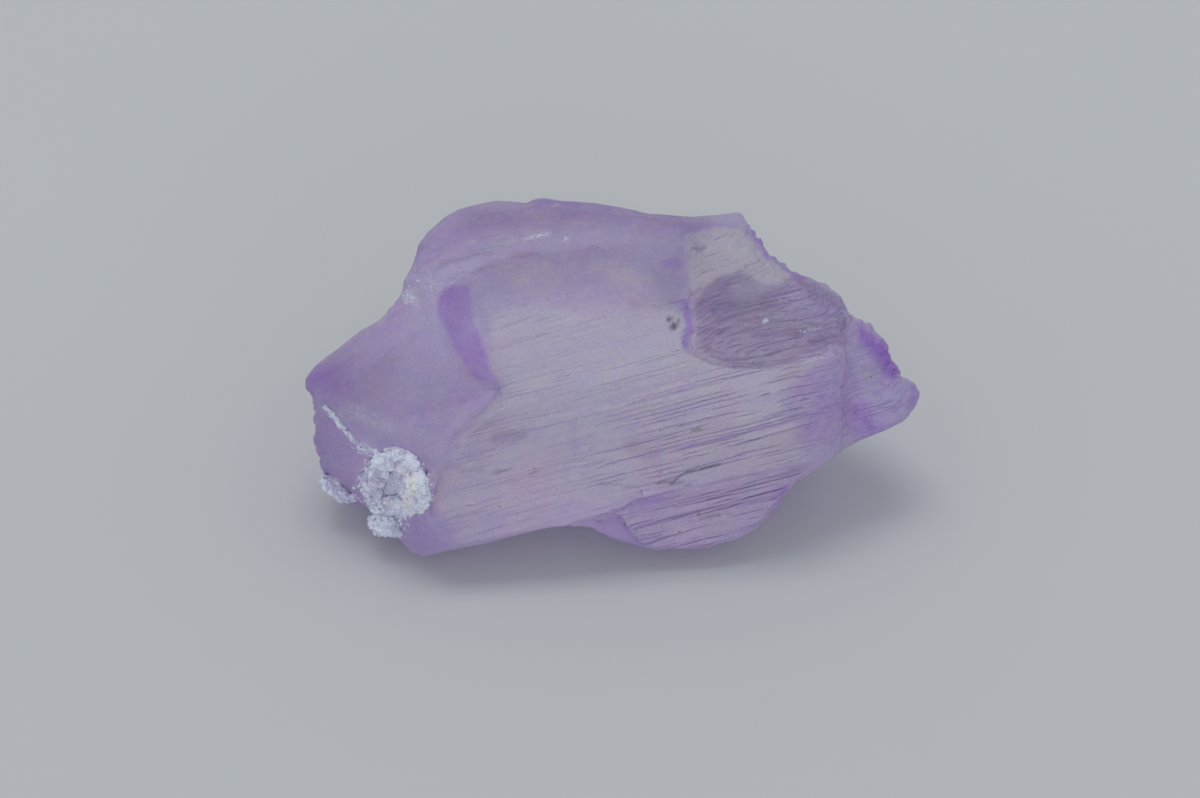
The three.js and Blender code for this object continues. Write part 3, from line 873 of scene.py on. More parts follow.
@dataclass
class Crystal:
    """The kunzite crystal.

    Attributes:
        pitch: Distance between the points of its mesh across the grain, in millimetres.
        stretch: How much longer that distance is along the grain.
        wear_rounds: How often its skin is smoothed.
        soft_rounds: How often the worn hollows are smoothed after that.
        swell_height: Height of the broad swells, in millimetres.
        ledge_height: Height of a cleavage ledge, in millimetres.
        rib_height: Height of the finest ribs, in millimetres.
        hackle_height: Height of the splinters in the scoop, in millimetres.
        bite_height: Height of the scallops along the broken edges, in millimetres.
        pit_depth: Depth of the small etch pits, in millimetres.
        rim_depth: Where the crystal is thinner than this, in millimetres, a violet glow is painted on it.
        glow: How violet the painted glow makes the thinnest rims, from 0 to 1.
        glow_rounds: How often that is averaged with its neighbours.
        back_violet: How violet the back is.
        end_violet: How much more violet the back's ends are.
        wander: How far the drawn colours stray in broad waves, in millimetres.
        waver: How far they stray in fine waves, in millimetres.
        fray: How far the drawn glints and specks stray, in millimetres.
        crisp: Where its edges stay sharp.
        soft: Where it is worn smooth.
        ribbed: How strongly it is ribbed along the grain.
        hackled: How strongly it is splintered.
        broken: How strongly its edges are scalloped.
        violet: How violet it is.
        darkened_and_shaded: How dark it is, partly its own darker tone and partly painted shade in the
            hollows, the scoop and along the top band.
        chalky: How strong the white veils on it are, and the painted highlights where it glints.
        specks: How dark its specks and cracks are.
    """

    pitch: float = 0.162
    stretch: float = 1.7
    wear_rounds: int = 14
    soft_rounds: int = 110
    swell_height: float = 0.2
    ledge_height: float = 0.15
    rib_height: float = 0.08
    hackle_height: float = 0.3
    bite_height: float = 0.3
    pit_depth: float = 0.07
    rim_depth: float = 3.2
    glow: float = 0.72
    glow_rounds: int = 6
    back_violet: float = 0.2
    end_violet: float = 0.35
    wander: float = 0.3
    waver: float = 0.12
    fray: float = 0.08

    crisp: Marks = (
        band(0.9, 0.5, 0.8, *SCOOP[12:], SCOOP[0]),
        band(0.7, 0.5, 0.8, *SCOOP[10:13]),
        band(0.9, 0.5, 0.8, (-1, -9.7), (3.6, -8.5), (14.4, -6.5)),
        band(0.9, 0.5, 0.8, (-22, -1.2), (-18.3, -5.7)),
        band(0.9, 0.6, 1, (3, -8.3), (8.6, -6.4)),
        band(0.9, 0.6, 1, (-1.2, -8.6), (3, -7.6)),
        band(0.9, 0.5, 0.8, (9.6, 12.5), (10.5, 10.8), (11.3, 9.1), (13.2, 7.8), (17.2, 5.9)),
        band(0.8, 0.5, 0.8, (18.3, 3.8), (20.7, 1.6), (21.7, 0.3), (23.1, -1.4)),
        band(0.8, 0.5, 0.8, (-23.1, -0.4), (-22, -5.7), (-22, -8.2), (-18.2, -9.9)),
        band(0.7, 0.4, 0.6, (-4, -11.1), (-1.9, -11.1), (1.7, -12.6)),
    )
    soft: Marks = (
        area(1, 2, (-13.6, 8.4), (-12, 11), (-6, 11.8), (4.8, 11), (5, 3.6),
             (-4, 2), (-7.6, 1.6), (-8.6, 7)),
        band(1, 0.8, 1.4, (8.5, 8), (13, 7.4)),
        band(1, 0.7, 1, (5.9, 6.8), (5.8, 9.4), (6.4, 10.4), (7.6, 10.9), (9.2, 11.1)),
        band(1, 0.7, 1, (-12.3, 5.4), (-11.5, 2.4), (-9.8, -0.5), (-8.5, -1.2)),
        band(1, 0.5, 0.9, (-8.2, -0.3), (-8.4, -1.4), (-9.4, -2.2), (-10.5, -3.1), (-11.7, -4.7),
             (-12.6, -6.6)),
        band(0.6, 0.7, 1.2, (17.4, 3.4), (17.2, -1), (16.4, -4.6)),
    )
    ribbed: Marks = (
        area(0.45, 2, *FACE),
        band(0.9, 3, 3.4, (2, -6), (13, -2.5)),
        band(0.25, 2, 2.5, (-6, 1), (3, 3.4)),
        area(1, 0.8, *FIN),
        area(0.6, 0.8, *SCOOP),
        area(0, 0.8, *CRESCENT),
        area(0.06, 0.6, *LOBE),
        area(0.45, 1.2, *CLEAR_CORNER),
        area(0.4, 1.2, *RIGHT_END),
        area(0, 0.8, *TRIANGLE),
    )
    hackled: Marks = (
        area(0.55, 0.8, *SCOOP),
        band(1, 1.1, 1.4, (8.4, 6.2), (12, 4.4), (16.8, 4.4)),
        band(0.8, 0.6, 0.8, (6.6, 6.3), (9.4, 7.8)),
        band(0.8, 1.4, 2, (15.6, -0.6), (15.8, -3)),
        band(0.7, 0.7, 1, (12.6, 0.4), (16.2, 1.2)),
        band(0.6, 1, 1.6, (18.4, 0.6), (20.4, -2.2)),
    )
    broken: Marks = (
        band(2.4, 0.7, 0.8, (10.5, 10.8), (11.6, 9.2), (13.4, 7.8)),
        band(1, 0.8, 1.2, (13.6, 7.6), (16.4, 6.6), (17.6, 4.4)),
        band(1.6, 0.8, 1, (18.6, 3.8), (20.6, 2.2), (21.8, 0.2)),
        band(0.6, 1.6, 2, (18, -1), (20, -3), (22.2, -2.2)),
        band(1.8, 0.8, 1, (-22.6, -1.5), (-22.4, -6), (-21.6, -8.6), (-18, -9.8)),
        band(0.9, 0.7, 1.2, (-16.6, 4.6), (-14.4, 7), (-13.4, 9.4)),
        band(0.6, 0.5, 0.8, (-3.4, -11.2), (-1, -11.2)),
    )
    violet: Marks = (
        area(0.13, 1.4, *FACE),
        band(0.3, 0.9, 1.2, (-12.6, -11.6), (-4, -10.4), (-1.6, -10.2)),
        band(0.34, 0.5, 0.9, (-13.4, -7.3), (-11.4, -6.1), (-8.5, -5), (-6, -4.2)),
        band(0.36, 0.25, 0.5, (-2.9, -3.3), (-2.7, -5.4)),
        band(0.36, 0.25, 0.5, (3.5, -5.4), (3.4, -7.4)),
        band(0.6, 0.07, 0.3, (4.7, -5.4), (7, -4.8), (9, -4.2), (13.2, -3.4)),
        band(0.3, 0.16, 0.5, (-2.5, -2.7), (0.9, -1.5), (4.3, -0.4), (6.8, 0.7)),
        band(0.3, 0.08, 0.3, (3.1, -1.3), (5.4, -0.8), (8.2, 0.1), (9.6, 0.5)),
        band(0.72, 1, 1.8, (15.4, -4.4), (16.2, -1.4)),
        band(0.56, 0.7, 1.6, (13.4, -2.4), (14.2, -0.6)),
        band(0.62, 2.4, 3, (-14, 9.6), (-10, 11.8), (0, 12.4), (6, 11.8)),
        area(0.44, 1.8, (-13.6, 7.6), (-10.6, 9.8), (-5.4, 11), (0.6, 11.4), (5.8, 10.2), (6.1, 6.4),
             (5.5, 6.1), (3.7, 5.6), (1.6, 4.8), (-1.2, 4.8), (-3.1, 5.6), (-4.8, 6.1), (-8.4, 5.4),
             (-9.9, 3.4), (-10.6, 6.4)),
        band(0.18, 0.7, 1.4, (-1, 8.2), (1.2, 7.4), (2.2, 7)),
        band(0.2, 0.4, 0.9, (-6.6, 7.2), (-5, 8.2)),
        band(0.52, 0.9, 1.2, (-11.4, 8.4), (-9.4, 9.4), (-6, 9.8)),
        band(0.44, 0.9, 1.2, (3.4, 8.4), (5.2, 7.6), (5, 5.6)),
        band(0.7, 0.4, 0.7, (4, 8.4), (4.9, 8.2)),
        area(-0.3, 0.7, *CLEAR_CORNER),
        band(0.5, 0.6, 0.8, (5.6, 12), (8.4, 12.1), (10, 12), (10.4, 11.4)),
        area(0.4, 0.35, *SCOOP),
        band(0.56, 1, 1.6, (12.6, 5.8), (16.4, 5.2)),
        band(0.55, 0.8, 1.4, (14.6, 2.6), (17, 3.2)),
        band(0.62, 0.4, 0.9, (14.6, 0.2), (17, -1.8)),
        band(0.8, 0.3, 0.5, (5.4, 5.4), (5.75, 3.9), (5.5, 2.2)),
        area(0.52, 0.5, *LOBE),
        band(0.56, 0.8, 1.6, (-11.6, -1.6), (-9.2, -1)),
        band(0.85, 1.1, 2.4, (-22.6, -0.2), (-20.6, -0.2)),
        area(0.56, 0.6, *LEFT_STRIP),
        # The deep violet of the crescent wall between lobe and face is painted shade in a crease.
        area(0.82, 0.5, *CRESCENT),
        area(0.52, 1, *RIGHT_END),
        band(0.42, 0.5, 1, (18, 2.6), (18.4, 0.6), (19.4, -0.4)),
        band(0.62, 1.3, 2, (15.2, -4.4), (15.8, -1.2)),
        # The knob's rim: partly its own violet, partly painted glow at the thin edge.
        area(1, 1, *VIOLET_RIM),
        band(0.82, 0.8, 1.6, (18.4, -2.6), (19.6, -4.2)),
        band(0.75, 0.5, 1, (22.7, -1), (22.7, -2.2)),
        area(0.34, 0.35, *FIN),
        band(0.5, 0.5, 1.2, (13.6, -7.4), (12.2, -10)),
        band(0.5, 0.5, 0.9, (1, -9.8), (3.6, -9.2)),
        area(0.62, 0.5, *TRIANGLE),
        area(0.58, 1.2, *LOW_CORNER),
        # Violet rims along the broken top edges: partly their own colour, partly painted glow at the thin
        # edges.
        band(0.85, 0.3, 0.6, (10.4, 11.6), (10.6, 10.7), (11.5, 9.4), (13, 8), (14.2, 7.3)),
        band(0.85, 0.2, 0.5, (-6.4, 13.1), (-3, 12.9), (3, 12.2), (5, 11.9)),
    )
    # Dark places: partly darker stone, partly painted shade in the hollows, the scoop and along the top band.
    darkened_and_shaded: Marks = (
        band(0.3, 0.7, 1.2, (3, 12), (6.4, 11.6)),
        band(0.22, 0.9, 1.6, (2.4, 10.6), (5.4, 10.2)),
        band(0.3, 0.2, 0.5, (-3.6, 12.8), (1, 12.5), (6.4, 11.9)),
        band(0.22, 2.2, 4, (-19.6, -0.6), (-13, -0.8)),
        band(0.4, 1.1, 2.2, (-10, 11.6), (-3, 12.3), (6, 11.9)),
        band(0.16, 1.4, 3, (-8, 8.4), (0, 9.4)),
        band(0.2, 1, 1.8, (3.6, 8), (4.6, 6)),
        band(0.5, 0.16, 0.5, (-12.8, 8.2), (-11, 8.8), (-9, 9.2)),
        band(0.5, 0.18, 0.5, (-10.2, 7.7), (-8.4, 8.4), (-5.4, 9)),
        band(0.3, 0.3, 0.8, (1.6, 5.4), (3.4, 5), (4.8, 5.8)),
        area(0.4, 0.5, *SCOOP),
        band(0.6, 0.4, 1.2, (8, 6.8), (8.8, 5.6), (10.4, 5.2), (12, 5.6)),
        band(0.2, 0.8, 1.2, (13.4, 5.6), (16.6, 4.8)),
        band(0.42, 0.4, 0.6, (-8.6, -4.6), (-6.6, -4.3)),
        band(0.34, 0.15, 0.4, (-11.6, -6.8), (-8.4, -7.2)),
        band(0.22, 0.5, 0.8, (1.4, -5.2), (2.8, -5.8)),
        band(0.25, 0.3, 0.5, (1.2, -9.6), (4.4, -9)),
        band(0.3, 0.1, 0.3, (7.6, 2.6), (9.6, 3), (11.2, 3.3)),
        band(0.34, 0.1, 0.3, (10.8, 4.6), (13, 4.9)),
        band(0.3, 0.06, 0.2, (3.6, -8.7), (9.6, -7.4), (14.4, -6.35)),
    )
    # White veils, and painted highlights along ridges, in the scoop and on the top band.
    chalky: Marks = (
        band(1.8, 0.14, 0.3, (-6.6, 10.1), (-5.4, 10.4), (-4.6, 10.6)),
        band(0.8, 0.25, 0.6, (-9.8, 9.2), (-7.8, 9.9), (-5.4, 10.4)),
        band(2, 0.14, 0.16, (-3.4, 10.2)),
        band(1.6, 0.12, 0.2, (-10.8, 9.9), (-10.2, 10)),
        band(1.2, 0.12, 0.2, (-10.3, 11.7)),
        band(1.2, 0.12, 0.2, (-4.4, 12.7), (-4, 12.8)),
        band(2, 0.14, 0.16, (11.4, 4.1)),
        band(0.8, 0.12, 0.3, (10.4, 4.7), (12.4, 4.4), (13.8, 4.3)),
        band(0.9, 0.1, 0.25, (14.4, 3.7), (16, 3.4), (17.6, 3.2)),
        band(1.6, 0.12, 0.14, (14.6, 3.5), (15.1, 3.45)),
        band(1.4, 0.05, 0.14, (11.1, 4.6), (12.8, 4.7), (14.6, 5)),
        band(1.2, 0.05, 0.12, (9.4, 3.8), (12.4, 3.6), (15, 4.1), (17.1, 4.2)),
        band(1.4, 0.06, 0.14, (13.4, 1), (15.7, 0.8)),
        band(1.2, 0.06, 0.14, (13.6, 0.6), (15.6, 1.4)),
        band(1.5, 0.3, 1, (-20, -2.8), (-18.8, -2.9), (-17.8, -3.4), (-16.6, -3.8)),
        band(1, 0.3, 0.8, (-19.6, -2.3), (-18.4, -2.4)),
        band(0.9, 0.3, 1, (-14.8, -3.6), (-13.8, -4.4)),
        band(0.6, 0.4, 1, (-14.2, 7.2), (-12.8, 6.4)),
        band(1.8, 0.3, 0.4, (-15.2, 5.9), (-14.6, 5.5)),
        band(0.9, 0.5, 1, (13.6, -5.8), (15.4, -5.4), (17.4, -5.2)),
        band(0.6, 0.5, 0.9, (-8, -11.4), (-4.4, -10.2)),
        band(0.5, 0.3, 0.8, (-12.6, -6.2), (-9.6, -5.2)),
        band(1, 0.3, 0.5, (6, 9.2), (5.4, 9.6)),
        band(1.2, 0.1, 0.2, (-8.9, 3.6), (-8.8, 2.6)),
        band(1, 0.2, 0.5, (17.8, 1.8), (18.6, 0.4), (19.4, -0.2)),
        band(1, 0.12, 0.3, (21.2, -0.9), (21.2, -1.9)),
        band(0.8, 0.3, 0.6, (18.8, -1), (19.6, -2.2)),
        band(1, 0.08, 0.3, (3.9, -8.9), (9, -7.8)),
        band(0.8, 0.06, 0.2, (5.2, -9.6), (10.4, -8.5)),
        band(0.8, 0.06, 0.2, (5, -10.4), (9.4, -9.4)),
    )
    specks: Marks = (
        band(0.95, 0.2, 0.24, (4.25, 4.2)),
        band(1, 0.26, 0.24, (4.6, 3.7)),
        band(0.8, 0.12, 0.2, (4.95, 4.1)),
        band(0.9, 0.18, 0.24, (-13.7, -7.15)),
        band(0.9, 0.07, 0.16, (3.4, -7.95), (4.6, -7.75), (5.4, -7.15), (6.2, -6.85), (7.2, -6.75),
             (7.9, -6.5)),
        band(0.6, 0.06, 0.16, (4.2, -8), (5.4, -7.85)),
        band(0.6, 0.08, 0.16, (5.4, -8.1), (5.9, -8)),
        band(0.45, 0.08, 0.18, (-0.9, -8), (0.2, -7.95), (1.2, -8.15)),
        band(0.6, 0.08, 0.18, (-8.6, -7.1), (-7.6, -6.9)),
        band(0.45, 0.06, 0.18, (-6.2, -7.2), (-5.4, -6.9)),
        band(0.6, 0.08, 0.18, (5.9, 9.4), (6.8, 9.5)),
        band(0.7, 0.07, 0.16, (5.9, -4.05), (6.5, -3.95)),
        band(0.35, 0.06, 0.16, (6.8, 6.4), (8.2, 7.4)),
        band(0.4, 0.06, 0.14, (9.4, 4.1), (10.6, 4.3), (12.6, 5)),
        band(0.35, 0.06, 0.14, (13.6, 3.3), (15.8, 4)),
    )

    def build(self, finish: Material) -> Object:
        """Makes the crystal in place of its solid.

        Args:
            finish: Its material.

        Returns:
            The finished piece.
        """
        mesh = FineMesh("kunzite", solid_of("kunzite_crystal"), self.pitch, self.stretch)
        crispness = np.clip(levels_of(self.crisp, mesh.points, 0.0), 0.0, 1.0)
        mesh.wear(self.wear_rounds, 1.0 - crispness)
        mesh.wear(self.soft_rounds, Skin(mesh).level(self.soft, 0.0), take_back=0.0)
        mesh.raise_by(self._swells(Skin(mesh)))
        mesh.raise_by(self._ledges(Skin(mesh)))
        mesh.raise_by(self._breaks(Skin(mesh)))
        self._store_colour(mesh, Skin(mesh))
        mesh.object.data.materials.append(finish)
        return mesh.object

    def _swells(self, skin: Skin) -> Array:
        """The heights of the low swells of the whole skin, in millimetres."""
        waves = noise_at(skin.along, (7.0, 4.2, 4.2), 3.1) + 0.5 * noise_at(skin.along, (2.6, 1.6, 1.6), 17.3)
        return self.swell_height * waves * (1.0 - 0.75 * np.clip(skin.level(self.ribbed, 0.2), 0.0, 1.0))

    def _ledges(self, skin: Skin) -> Array:
        """The ledges, ribs and splinters that run along the grain.

        Args:
            skin: The crystal's skin.

        Returns:
            Heights in millimetres.
        """
        along = skin.along
        slope = 2.4 * noise_at(along, (15.0, 2.4, 2.4), 41.0) + 0.9 * noise_at(along, (6.0, 0.8, 0.8), 47.0)
        ledges = in_ledges(1.6 * slope, 0.25) / 1.6 - 0.6 * slope
        coarse = np.abs(noise_at(along, (7.0, 0.55, 0.55), 57.0))
        grooves = -coarse - 0.6 * np.abs(noise_at(along, (4.0, 0.36, 0.36), 61.0))
        splinters = 1.0 - 2.0 * np.abs(noise_at(along, (2.6, 0.38, 0.38), 67.0))
        ribs = self.ledge_height * ledges + 2.0 * self.rib_height * grooves
        hackles = self.hackle_height * splinters
        return skin.level(self.ribbed, 0.25, 0.7) * ribs + skin.level(self.hackled, 0.0) * hackles

    def _breaks(self, skin: Skin) -> Array:
        """The scallops of the broken edges and the small etch pits.

        Args:
            skin: The crystal's skin.

        Returns:
            Heights in millimetres.
        """
        broken = levels_of(self.broken, skin.points, 0.05) * (0.25 + 0.75 * skin.front)
        middle, border = cells_at(skin.points, 0.85, 5.0)
        scallops = 0.5 - middle + 0.4 * np.minimum(border, 0.3)
        pit, _ = cells_at(skin.along, (0.9, 0.5, 0.5), 9.0)
        choice = smooth_step(noise_at(skin.along, (1.6, 0.9, 0.9), 71.0), 0.1, 0.4)
        return self.bite_height * broken * scallops - self.pit_depth * choice * smooth_step(pit, 0.45, 0.2)

    def _thinness(self, mesh: FineMesh) -> Array:
        """How thin the crystal is at each point, where light that runs along inside it comes out.

        Args:
            mesh: The crystal's mesh.

        Returns:
            One for a sharp rim, 0 where the crystal is thick.
        """
        skin = BVHTree.FromObject(mesh.object, bpy.context.evaluated_depsgraph_get())
        points, normals = mesh.read("co"), mesh.read("normal")
        starts = (points - 0.02 * MM * normals).tolist()
        casts = [skin.ray_cast(start, way)[3] for start, way in zip(starts, (-normals).tolist())]
        depths = np.array([depth or 1.0 for depth in casts])
        thin = smooth_step(depths / MM, self.rim_depth, 0.3 * self.rim_depth)[:, None]
        for _ in range(self.glow_rounds):
            thin = mesh.average_around(thin)
        return thin[:, 0]

    def _store_colour(self, mesh: FineMesh, skin: Skin) -> None:
        """Keeps where the crystal is violet, dark, chalky and ribbed, for its material, with painted glow on
        its thin rims, painted shade in its hollows and painted highlights where it glints.

        Args:
            mesh: The crystal's mesh.
            skin: The crystal's skin.
        """
        points, front = skin.points, skin.front
        ragged = sideways(points, 0.45, 85.0)
        near = points + self.fray * ragged
        wandering = points + self.wander * sideways(points, 1.3, 81.0) + self.waver * ragged
        near_end = smooth_step(np.abs(points[:, 0] + 1.0), 13.0, 21.0)
        hidden = self.back_violet + self.end_violet * near_end
        violet = skin.level(self.violet, 0.4, hidden, wandering)
        pale = front * area(1.0, 1.0, *CLEAR_CORNER).at(points)
        # Painted glow: thin rims are made more violet, where light that runs inside the crystal comes out.
        violet = np.maximum(violet, self.glow * self._thinness(mesh) * (1.0 - pale))
        mesh.store(Attribute.PLACE, skin.along)
        mesh.store(Attribute.VIOLET, violet)
        # Darkness: partly the stone's tone, partly painted shade.
        mesh.store(Attribute.DARK_AND_SHADE, np.clip(skin.level(self.darkened_and_shaded, 0.0, at=wandering), 0.0, 1.0))
        # White veils and painted highlights.
        mesh.store(Attribute.CHALK_AND_GLINT, skin.level(self.chalky, 0.0, at=near))
        mesh.store(Attribute.SPECK, skin.level(self.specks, 0.0, at=near))
        mesh.store(Attribute.RIBBED, skin.level(self.ribbed, 0.15, 0.5))


@dataclass
class Crust:
    """A crust of feldspar grains in its pocket.

    Attributes:
        node: The solid that it stands for.
        pitch: Distance between the points of its mesh, in millimetres.
        grains: How many grains stand out of it.
        grain: Their usual radius, in millimetres.
        ragged: How far its skin stands out or in at random, in millimetres.
        stand_out: How far its skin stands out of its solid, in millimetres.
        rim_out: How much further its sides do, which closes the gap round it, in millimetres.
        lump: Distance between the lumps of its skin, in millimetres.
        sunk: How far below its neighbours' mean a point is that is fully in the painted shade, in
            millimetres.
        seed: Which random draw places them.
        stained: Where it is stained cream.
        thin: Where the crystal shows through it.
    """

    node: str
    pitch: float = 0.065
    grains: int = 500
    grain: float = 0.17
    ragged: float = 0.34
    stand_out: float = -0.06
    rim_out: float = 0.2
    lump: float = 0.34
    sunk: float = 0.012
    seed: int = 1
    stained: Marks = (band(0.95, 0.9, 1, (-14.7, -9.8), (-14.4, -7.4)),)
    thin: Marks = (
        band(0.95, 0.6, 0.9, (-18.2, -7.8), (-17.2, -6.4), (-15.6, -6)),
        band(0.9, 0.5, 0.8, (-17, -9.6), (-16.4, -10.4)),
        band(0.9, 0.5, 0.8, (-16.6, -11.4), (-16, -11.8)),
        band(0.9, 0.5, 0.8, (-20.4, -9), (-19.4, -9.2)),
    )

    def build(self, finish: Material) -> Object:
        """Makes the crust in place of its solid.

        Args:
            finish: Its material.

        Returns:
            The finished piece.
        """
        draw = np.random.default_rng(self.seed)
        points, triangles = solid_of(self.node)
        heap, faces = heap_of_grains(self._places_on(points, triangles, draw), self.grain, draw)
        form = np.concatenate([points, heap]), np.concatenate([triangles, faces + len(points)])
        mesh = FineMesh(self.node.replace("feldspar_", ""), form, self.pitch)
        sides = smooth_step(mesh.normals[:, 2], 0.9, 0.4)
        mesh.raise_by(self.stand_out + self.rim_out * sides + self.ragged * noise_at(mesh.points, 0.9, 93.0))
        mesh.wear(2)
        middle, border = cells_at(mesh.points, self.lump, 91.0)
        mesh.raise_by(0.4 * self.ragged * (0.4 - middle + 0.3 * np.minimum(border, 0.3)))
        points = mesh.points
        bulge = np.sum((mesh.average_around(points) - points) * mesh.normals, axis=1)
        wisps = levels_of(self.thin, points, 0.0) * smooth_step(noise_at(points, 0.5, 97.0), -0.15, 0.25)
        drift = 0.5 * noise_at(points, 0.8, 95.0)[:, None]
        mesh.store(Attribute.STAIN, levels_of(self.stained, points + drift, 0.1))
        # Painted shade in the hollows between grains, and grey where the crystal shows through the thin
        # crust.
        mesh.store(Attribute.SHADE, np.maximum(smooth_step(bulge, 0.0, self.sunk), wisps))
        mesh.object.data.materials.append(finish)
        return mesh.object

    def _places_on(self, points: Array, triangles: Array, draw: np.random.Generator) -> Array:
        """Picks places all over the solid's skin.

        Args:
            points: The solid's points.
            triangles: Its triangles.
            draw: The random numbers.

        Returns:
            One row for each grain.
        """
        a, b, c = (points[triangles[:, corner]] for corner in range(3))
        sizes = np.linalg.norm(np.cross(b - a, c - a), axis=1)
        picked = draw.choice(len(triangles), self.grains, p=sizes / sizes.sum())
        one, other = draw.uniform(size=(2, self.grains, 1))
        one, other = np.where(one + other > 1.0, (1.0 - one, 1.0 - other), (one, other))
        return a[picked] + one * (b - a)[picked] + other * (c - a)[picked]


def crumb() -> tuple[Array, Array]:
    """Makes a twelve-cornered crumb of radius one.

    Returns:
        Its corners, and its faces turned outward.
    """
    long = (1.0 + math.sqrt(5.0)) / 2.0
    signs = [(s, t) for s in (-1.0, 1.0) for t in (-1.0, 1.0)]
    corners = [(0.0, s, t * long) for s, t in signs] + [(s, t * long, 0.0) for s, t in signs]
    made = np.array(corners + [(t * long, 0.0, s) for s, t in signs])
    made /= np.linalg.norm(made[0])
    near = np.linalg.norm(made[:, None] - made[None], axis=2) < 1.1
    faces = [
        (a, b, c) if np.linalg.det(made[[a, b, c]]) > 0.0 else (a, c, b)
        for a, b, c in combinations(range(12), 3)
        if near[a, b] and near[b, c] and near[a, c]
    ]
    return made, np.array(faces)


def heap_of_grains(middles: Array, radius: float, draw: np.random.Generator) -> tuple[Array, Array]:
    """Puts an uneven crumb at each of many places.

    Args:
        middles: The places, one row each.
        radius: The crumbs' usual radius, in the same unit.
        draw: The random numbers.

    Returns:
        All their points and triangles.
    """
    corners, faces = crumb()
    sizes = radius * draw.uniform(0.5, 1.5, (len(middles), 1, 1))
    squash = draw.uniform(0.7, 1.25, (len(middles), 1, 3))
    dents = draw.uniform(0.7, 1.15, (len(middles), len(corners), 1))
    points = middles[:, None] + corners * sizes * squash * dents
    triangles = faces + len(corners) * np.arange(len(middles))[:, None, None]
    return points.reshape(-1, 3), triangles.reshape(-1, 3)


@dataclass(frozen=True)
class Scatter:
    """A patch of loose grains on the skin.

    Attributes:
        path: Its middle line on the front, in millimetres.
        spread: How far grains stray from it, in millimetres.
        count: How many there are.
        size: Their usual radius, in millimetres.
        shade: How grey they are, from 0 to 1.
    """

    path: Path
    spread: float
    count: int
    size: float
    shade: float = 0.0

    def places(self, draw: np.random.Generator) -> Array:
        """Draws a place on the front for each grain.

        Args:
            draw: The random numbers.

        Returns:
            One row of x and y for each grain, in millimetres.
        """
        corners = np.array(self.path, float)
        lengths = np.linalg.norm(np.diff(corners, axis=0), axis=1)
        travelled = np.concatenate([[0.0], np.cumsum(lengths)])
        at = draw.uniform(0.0, travelled[-1], self.count)
        middle = np.stack([np.interp(at, travelled, corners[:, axis]) for axis in (0, 1)], axis=1)
        return middle + draw.normal(0.0, self.spread, (self.count, 2))


